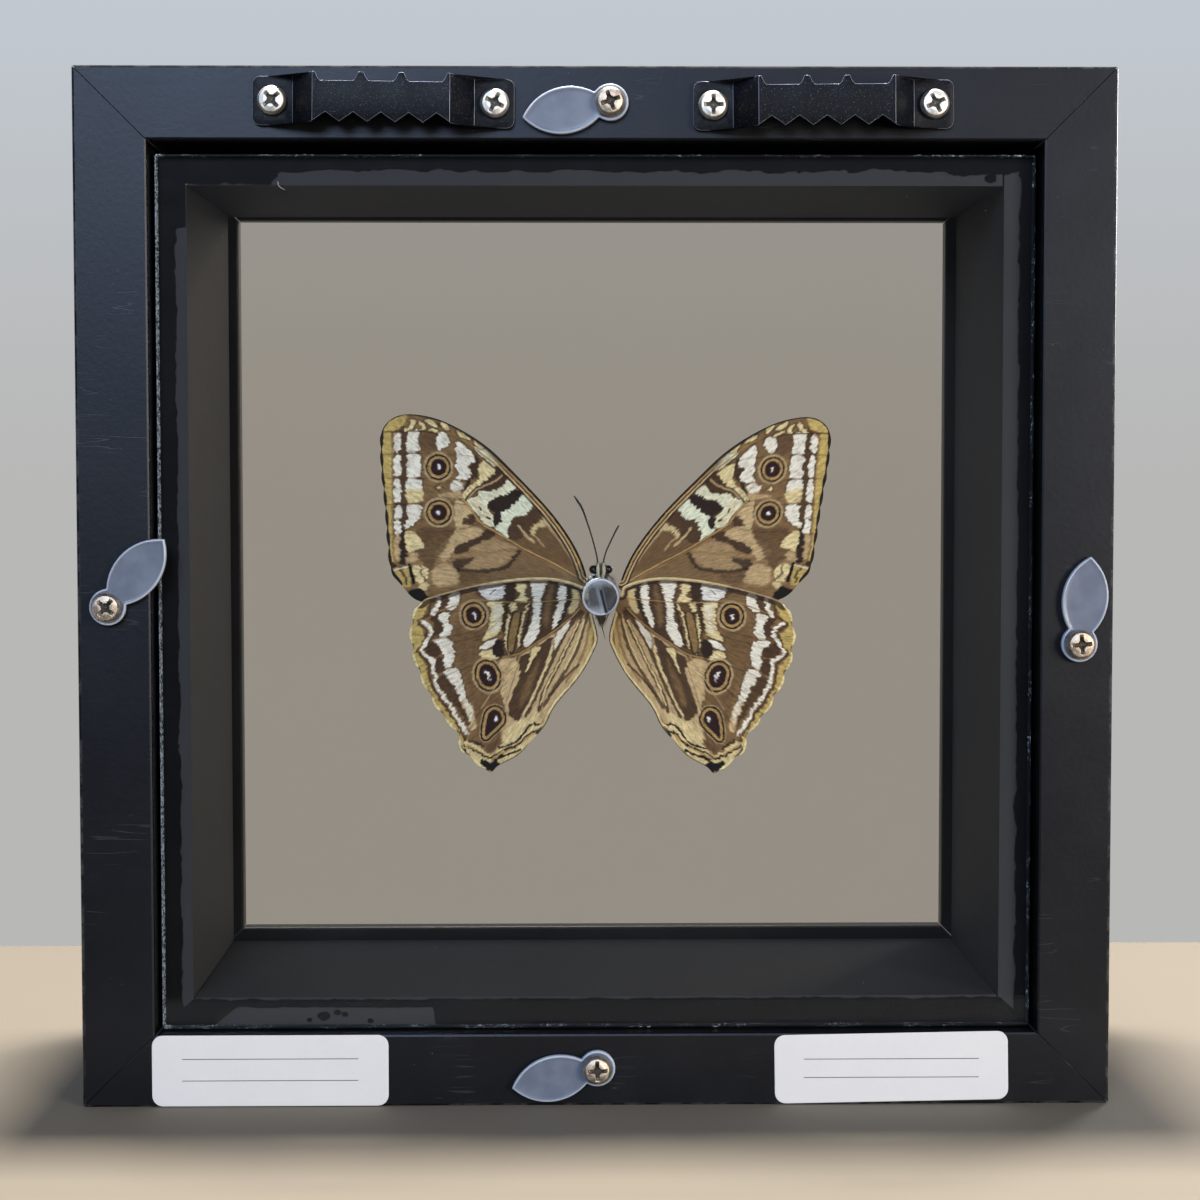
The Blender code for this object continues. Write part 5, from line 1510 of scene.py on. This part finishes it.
def glue_pad_and_painted_light():
    """Glue between the rod's end and the pane: milky on one side, clear on the other, with a painted highlight
    at its rim, brighter on top, and one thin painted dark line for the body seen through the rod. The milk is
    partly painted sheen. Rings of points, and how milky and how much painted light each has."""
    low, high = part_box("acrylic_post")
    radius = (high.x - low.x) / 2
    r = np.concatenate([[0.02], np.linspace(0.06, 1.0, 60)])[:, None]
    turn = np.linspace(0, ROUND, 200, endpoint=False)[None, :]
    x, z = r * np.cos(turn), r * np.sin(turn)
    round_it = np.stack([np.cos(turn) * 4 + 0 * r, np.sin(turn) * 4 + 0 * r], -1)
    edge = r + 0.05 * (rough(round_it, 1.0, 12) - 0.5)
    # Painted highlight: a bright ring at the rim, drawn more opaque towards the top.
    rim = smooth(0.86, 0.93, edge)
    cloud = rough(np.stack([x, z], -1) * 3, 1.0, 31, 3)
    seam = x - 0.10 + 0.25 * z
    # Painted dark streak: one thin dark line for the body seen through the rod, with a milky halo beside it.
    line = smooth(0.12, 0.05, np.abs(seam)) * smooth(-0.93, -0.85, z) * smooth(0.45, 0.35, z)
    halo = smooth(0.30, 0.10, np.abs(seam + 0.06)) * smooth(0.7, 0.3, z)
    # Milky parts on top and at the foot: milky glue, and also painted sheen.
    top = smooth(0.35, 0.85, z + 0.25 * (cloud - 0.5))
    foot = smooth(-0.35, -0.85, z) * smooth(0.4, -0.1, x)
    milk_and_sheen = 0.20 * smooth(0.30, -0.30, seam + 0.5 * (cloud - 0.5)) + 0.35 * halo + 0.65 * top + 0.6 * foot
    cover = np.clip(np.maximum.reduce([milk_and_sheen * 0.85, rim * (0.65 + 0.35 * z), line, 0.10 + 0 * x]), 0, 1)
    # Painted light: how bright each point is drawn, from the rim highlight, the sheen and noise, dark on the
    # line.
    painted_light = np.clip(0.2 + 0.2 * cloud + 0.55 * rim + 0.4 * milk_and_sheen, 0, 1) * (1 - line)
    y = np.full_like(x, GLASS_HIGH.y + 0.04 * MM)
    middle = np.array([(low.x + high.x) / 2, 0, (low.z + high.z) / 2])
    front = np.stack([x * radius * 0.985, y, z * radius * 0.985], -1) + middle
    rings = np.concatenate([front, front[::-1] + [0, 0.00008, 0]])
    piece = build("glue_pad_and_painted_light", *loft(rings), slot="clear_acrylic")
    for name, values in (("cover", cover), ("painted_light", painted_light)):
        both = np.concatenate([values, values[::-1]]).ravel()
        attribute(piece, name, np.concatenate([both, [values[0, 0]] * 2]))
    look = Look("milky_glue_and_painted_light", Specular_IOR_Level=0.5, Roughness=0.25)
    cloudy = look.grain(0.0006, 3)
    colour = look.mix(look.read("painted_light"), (0.002, 0.002, 0.002), (0.95, 1.0, 1.05))
    look.set(Base_Color=colour, Alpha=look.read("cover"), Roughness=0.2 + 0.3 * cloudy)
    wear(piece, look.material)


def mitre_filler():
    """Paint in the mitres: thin upright sheets across each corner, just under the rails' faces."""
    rail_face, short, thick, under = 0.0145, 0.0005, 0.14 * MM, 0.02 * MM
    along = np.array([HALF_WIDTH - rail_face, HALF_WIDTH - short])
    deep = np.array([REAR_Y + under, FRONT_Y - under])
    off = thick / math.sqrt(2)
    parts = []
    for sx, sz in ((1, 1), (-1, 1), (-1, -1), (1, -1)):
        sheets = []
        for k in (-1, 1):
            x = along[:, None] + k * off + 0 * deep[None]
            z = along[:, None] - k * off + 0 * deep[None]
            up = HEIGHT / 2 + sz * (z + HEIGHT / 2 - HALF_WIDTH)
            sheets.append(np.stack([sx * x, 0 * x + deep[None], up], -1))
        places, faces = slab(*sheets)
        parts.append((places, *outward(places, faces, np.zeros((0, 3), int))))
    filler = build("mitre_filler", *joined(parts), smooth_faces=False, slot="black_paint")
    wear(filler, NODES["rail_top"].active_material)


def glue_film():
    """A thin black ring between the rear pane and the board ends: its two edges wander by noise, square by
    square round the pane, and it leaves a bare strip where it was not spread. Round spots lie beside it."""
    count, across = 2400, 7
    half = (GLASS_HIGH.x - GLASS_LOW.x) / 2
    # The whole part of p is the side (left going up, top, right going down, bottom), the rest the way along.
    p = np.linspace(0, 4, count, endpoint=False)
    side, f = np.floor(p).astype(int), p % 1
    shake = rough(np.stack([p * 41, 0 * p], 1), 1.0, 5, 4) - 0.5
    fine = rough(np.stack([p * 160, 0 * p + 3], 1), 1.0, 8, 3) - 0.5
    widths = [3.4 + 0.9 * shake, 2.7 + 1.4 * shake, 2.5 + 0.8 * shake, 5.1 + 0.5 * shake]
    reach = np.choose(side, widths) + 0.5 * fine
    blots = smooth(0.10, 0.07, np.abs(p - 1.03)) * 2.6 + smooth(0.06, 0.03, np.abs(p - 1.96)) * 0.6
    reach = np.minimum(reach + blots, 5.35)
    start = 0.15 + 0.1 * fine
    bare = (side == 3) * smooth(0.685, 0.700, f) * smooth(0.945, 0.935, f)
    start = start + bare * (3.6 + 0.6 * shake - start)
    t = np.linspace(0, 1, across)[:, None]
    edge = half - (start + (reach - start) * t) * MM
    u = 2 * f - 1
    x = np.choose(side, [-edge, u * edge, edge, -u * edge])
    z = np.choose(side, [u * edge, edge, -u * edge, -edge])
    front = np.stack([x, GLASS_HIGH.y + LIFT + 0 * x, GLASS_MIDDLE + z], -1)
    places, faces = slab(front, front + [0, 0.00012, 0], True)
    parts = [(places, faces, np.zeros((0, 3), int))]

    # Each spot's place across, its height above the pane's foot, and its size, in millimetres.
    rng = np.random.default_rng(44)
    spots = [(-51.8, 1.9, 0.9), (-49.2, 2.6, 0.55), (-47.8, 2.2, 0.5), (-54.5, 1.2, 0.4),
        (-43.0, 1.0, 0.45)]
    for place in np.arange(56, 80, 0.62):
        spots.append((place, GLASS_TALL - 1.6 + rng.normal(0, 0.12), rng.uniform(0.22, 0.5)))
    for place, down, size in ((74, 4.1, 0.8), (51.4, 0.8, 0.45), (22, 1.1, 0.4), (38, 2.9, 0.3)):
        spots.append((place, GLASS_TALL - down, size))
    turn = np.linspace(0, ROUND, 40, endpoint=False)
    cosine, sine = np.cos(turn), np.sin(turn)
    for cx, cz, size in spots:
        wobble = rough(np.stack([cosine * 2 + 9, sine * 2 + 9], 1), 1.0, int(size * 90)) - 0.5
        r = size * MM * (1 + 0.5 * wobble)
        loop = np.stack([cx * MM + r * cosine * 1.3, 0 * turn, GLASS_LOW.z + cz * MM + r * sine], 1)
        parts.append(loft(np.stack([loop + [0, GLASS_HIGH.y + out, 0] for out in (0.00004, 0.00015)])))
    piece = build("glue_film", *joined(parts), slot="black_board")
    piece.data.set_sharp_from_angle(angle=math.radians(40))
    wear(piece, film_look())


def lint():
    """One short pale fibre on the rear pane: a thin tube along a shallow arc."""
    path = curve([(-59.1, 172.9), (-59.0, 172.2), (-58.4, 171.7), (-57.8, 171.4)], 6)
    route = np.stack([path[:, 0] * MM, np.full(len(path), GLASS_LOW.y - 0.00006), path[:, 1] * MM], 1)
    radii = np.linspace(0.00005, 0.00003, len(path))
    fibre = build("lint_fibre", *tube(route, radii, 8), slot="white_paper")
    wear(fibre, horn_look("pale_lint", (0.50, 0.48, 0.45), (0.75, 0.73, 0.70), 0.7))


def clothe_solids():
    """Finishes for the solids whose shape is right as it is."""
    finishes = {"rail": paint_look(), "spacer": board_look()}
    for name, node in NODES.items():
        for start, material in finishes.items():
            if name.startswith(start):
                wear(node, material)
    wear(NODES["rear_glass"], glass_look("rear_picture_glass", (0.99, 0.988, 0.985)))
    # The front pane's warm grey tint is partly painted shade: it darkens the backdrop seen through the window.
    wear(NODES["front_glass"], glass_look("front_picture_glass_shade_tint", (0.86, 0.82, 0.76)))


studio()
WING = wing_look()
clothe_solids()
mitre_filler()
glue_film()
glue_pad_and_painted_light()
lint()
hangers()
screws()
buttons()
labels()
post()
insect()
wings()
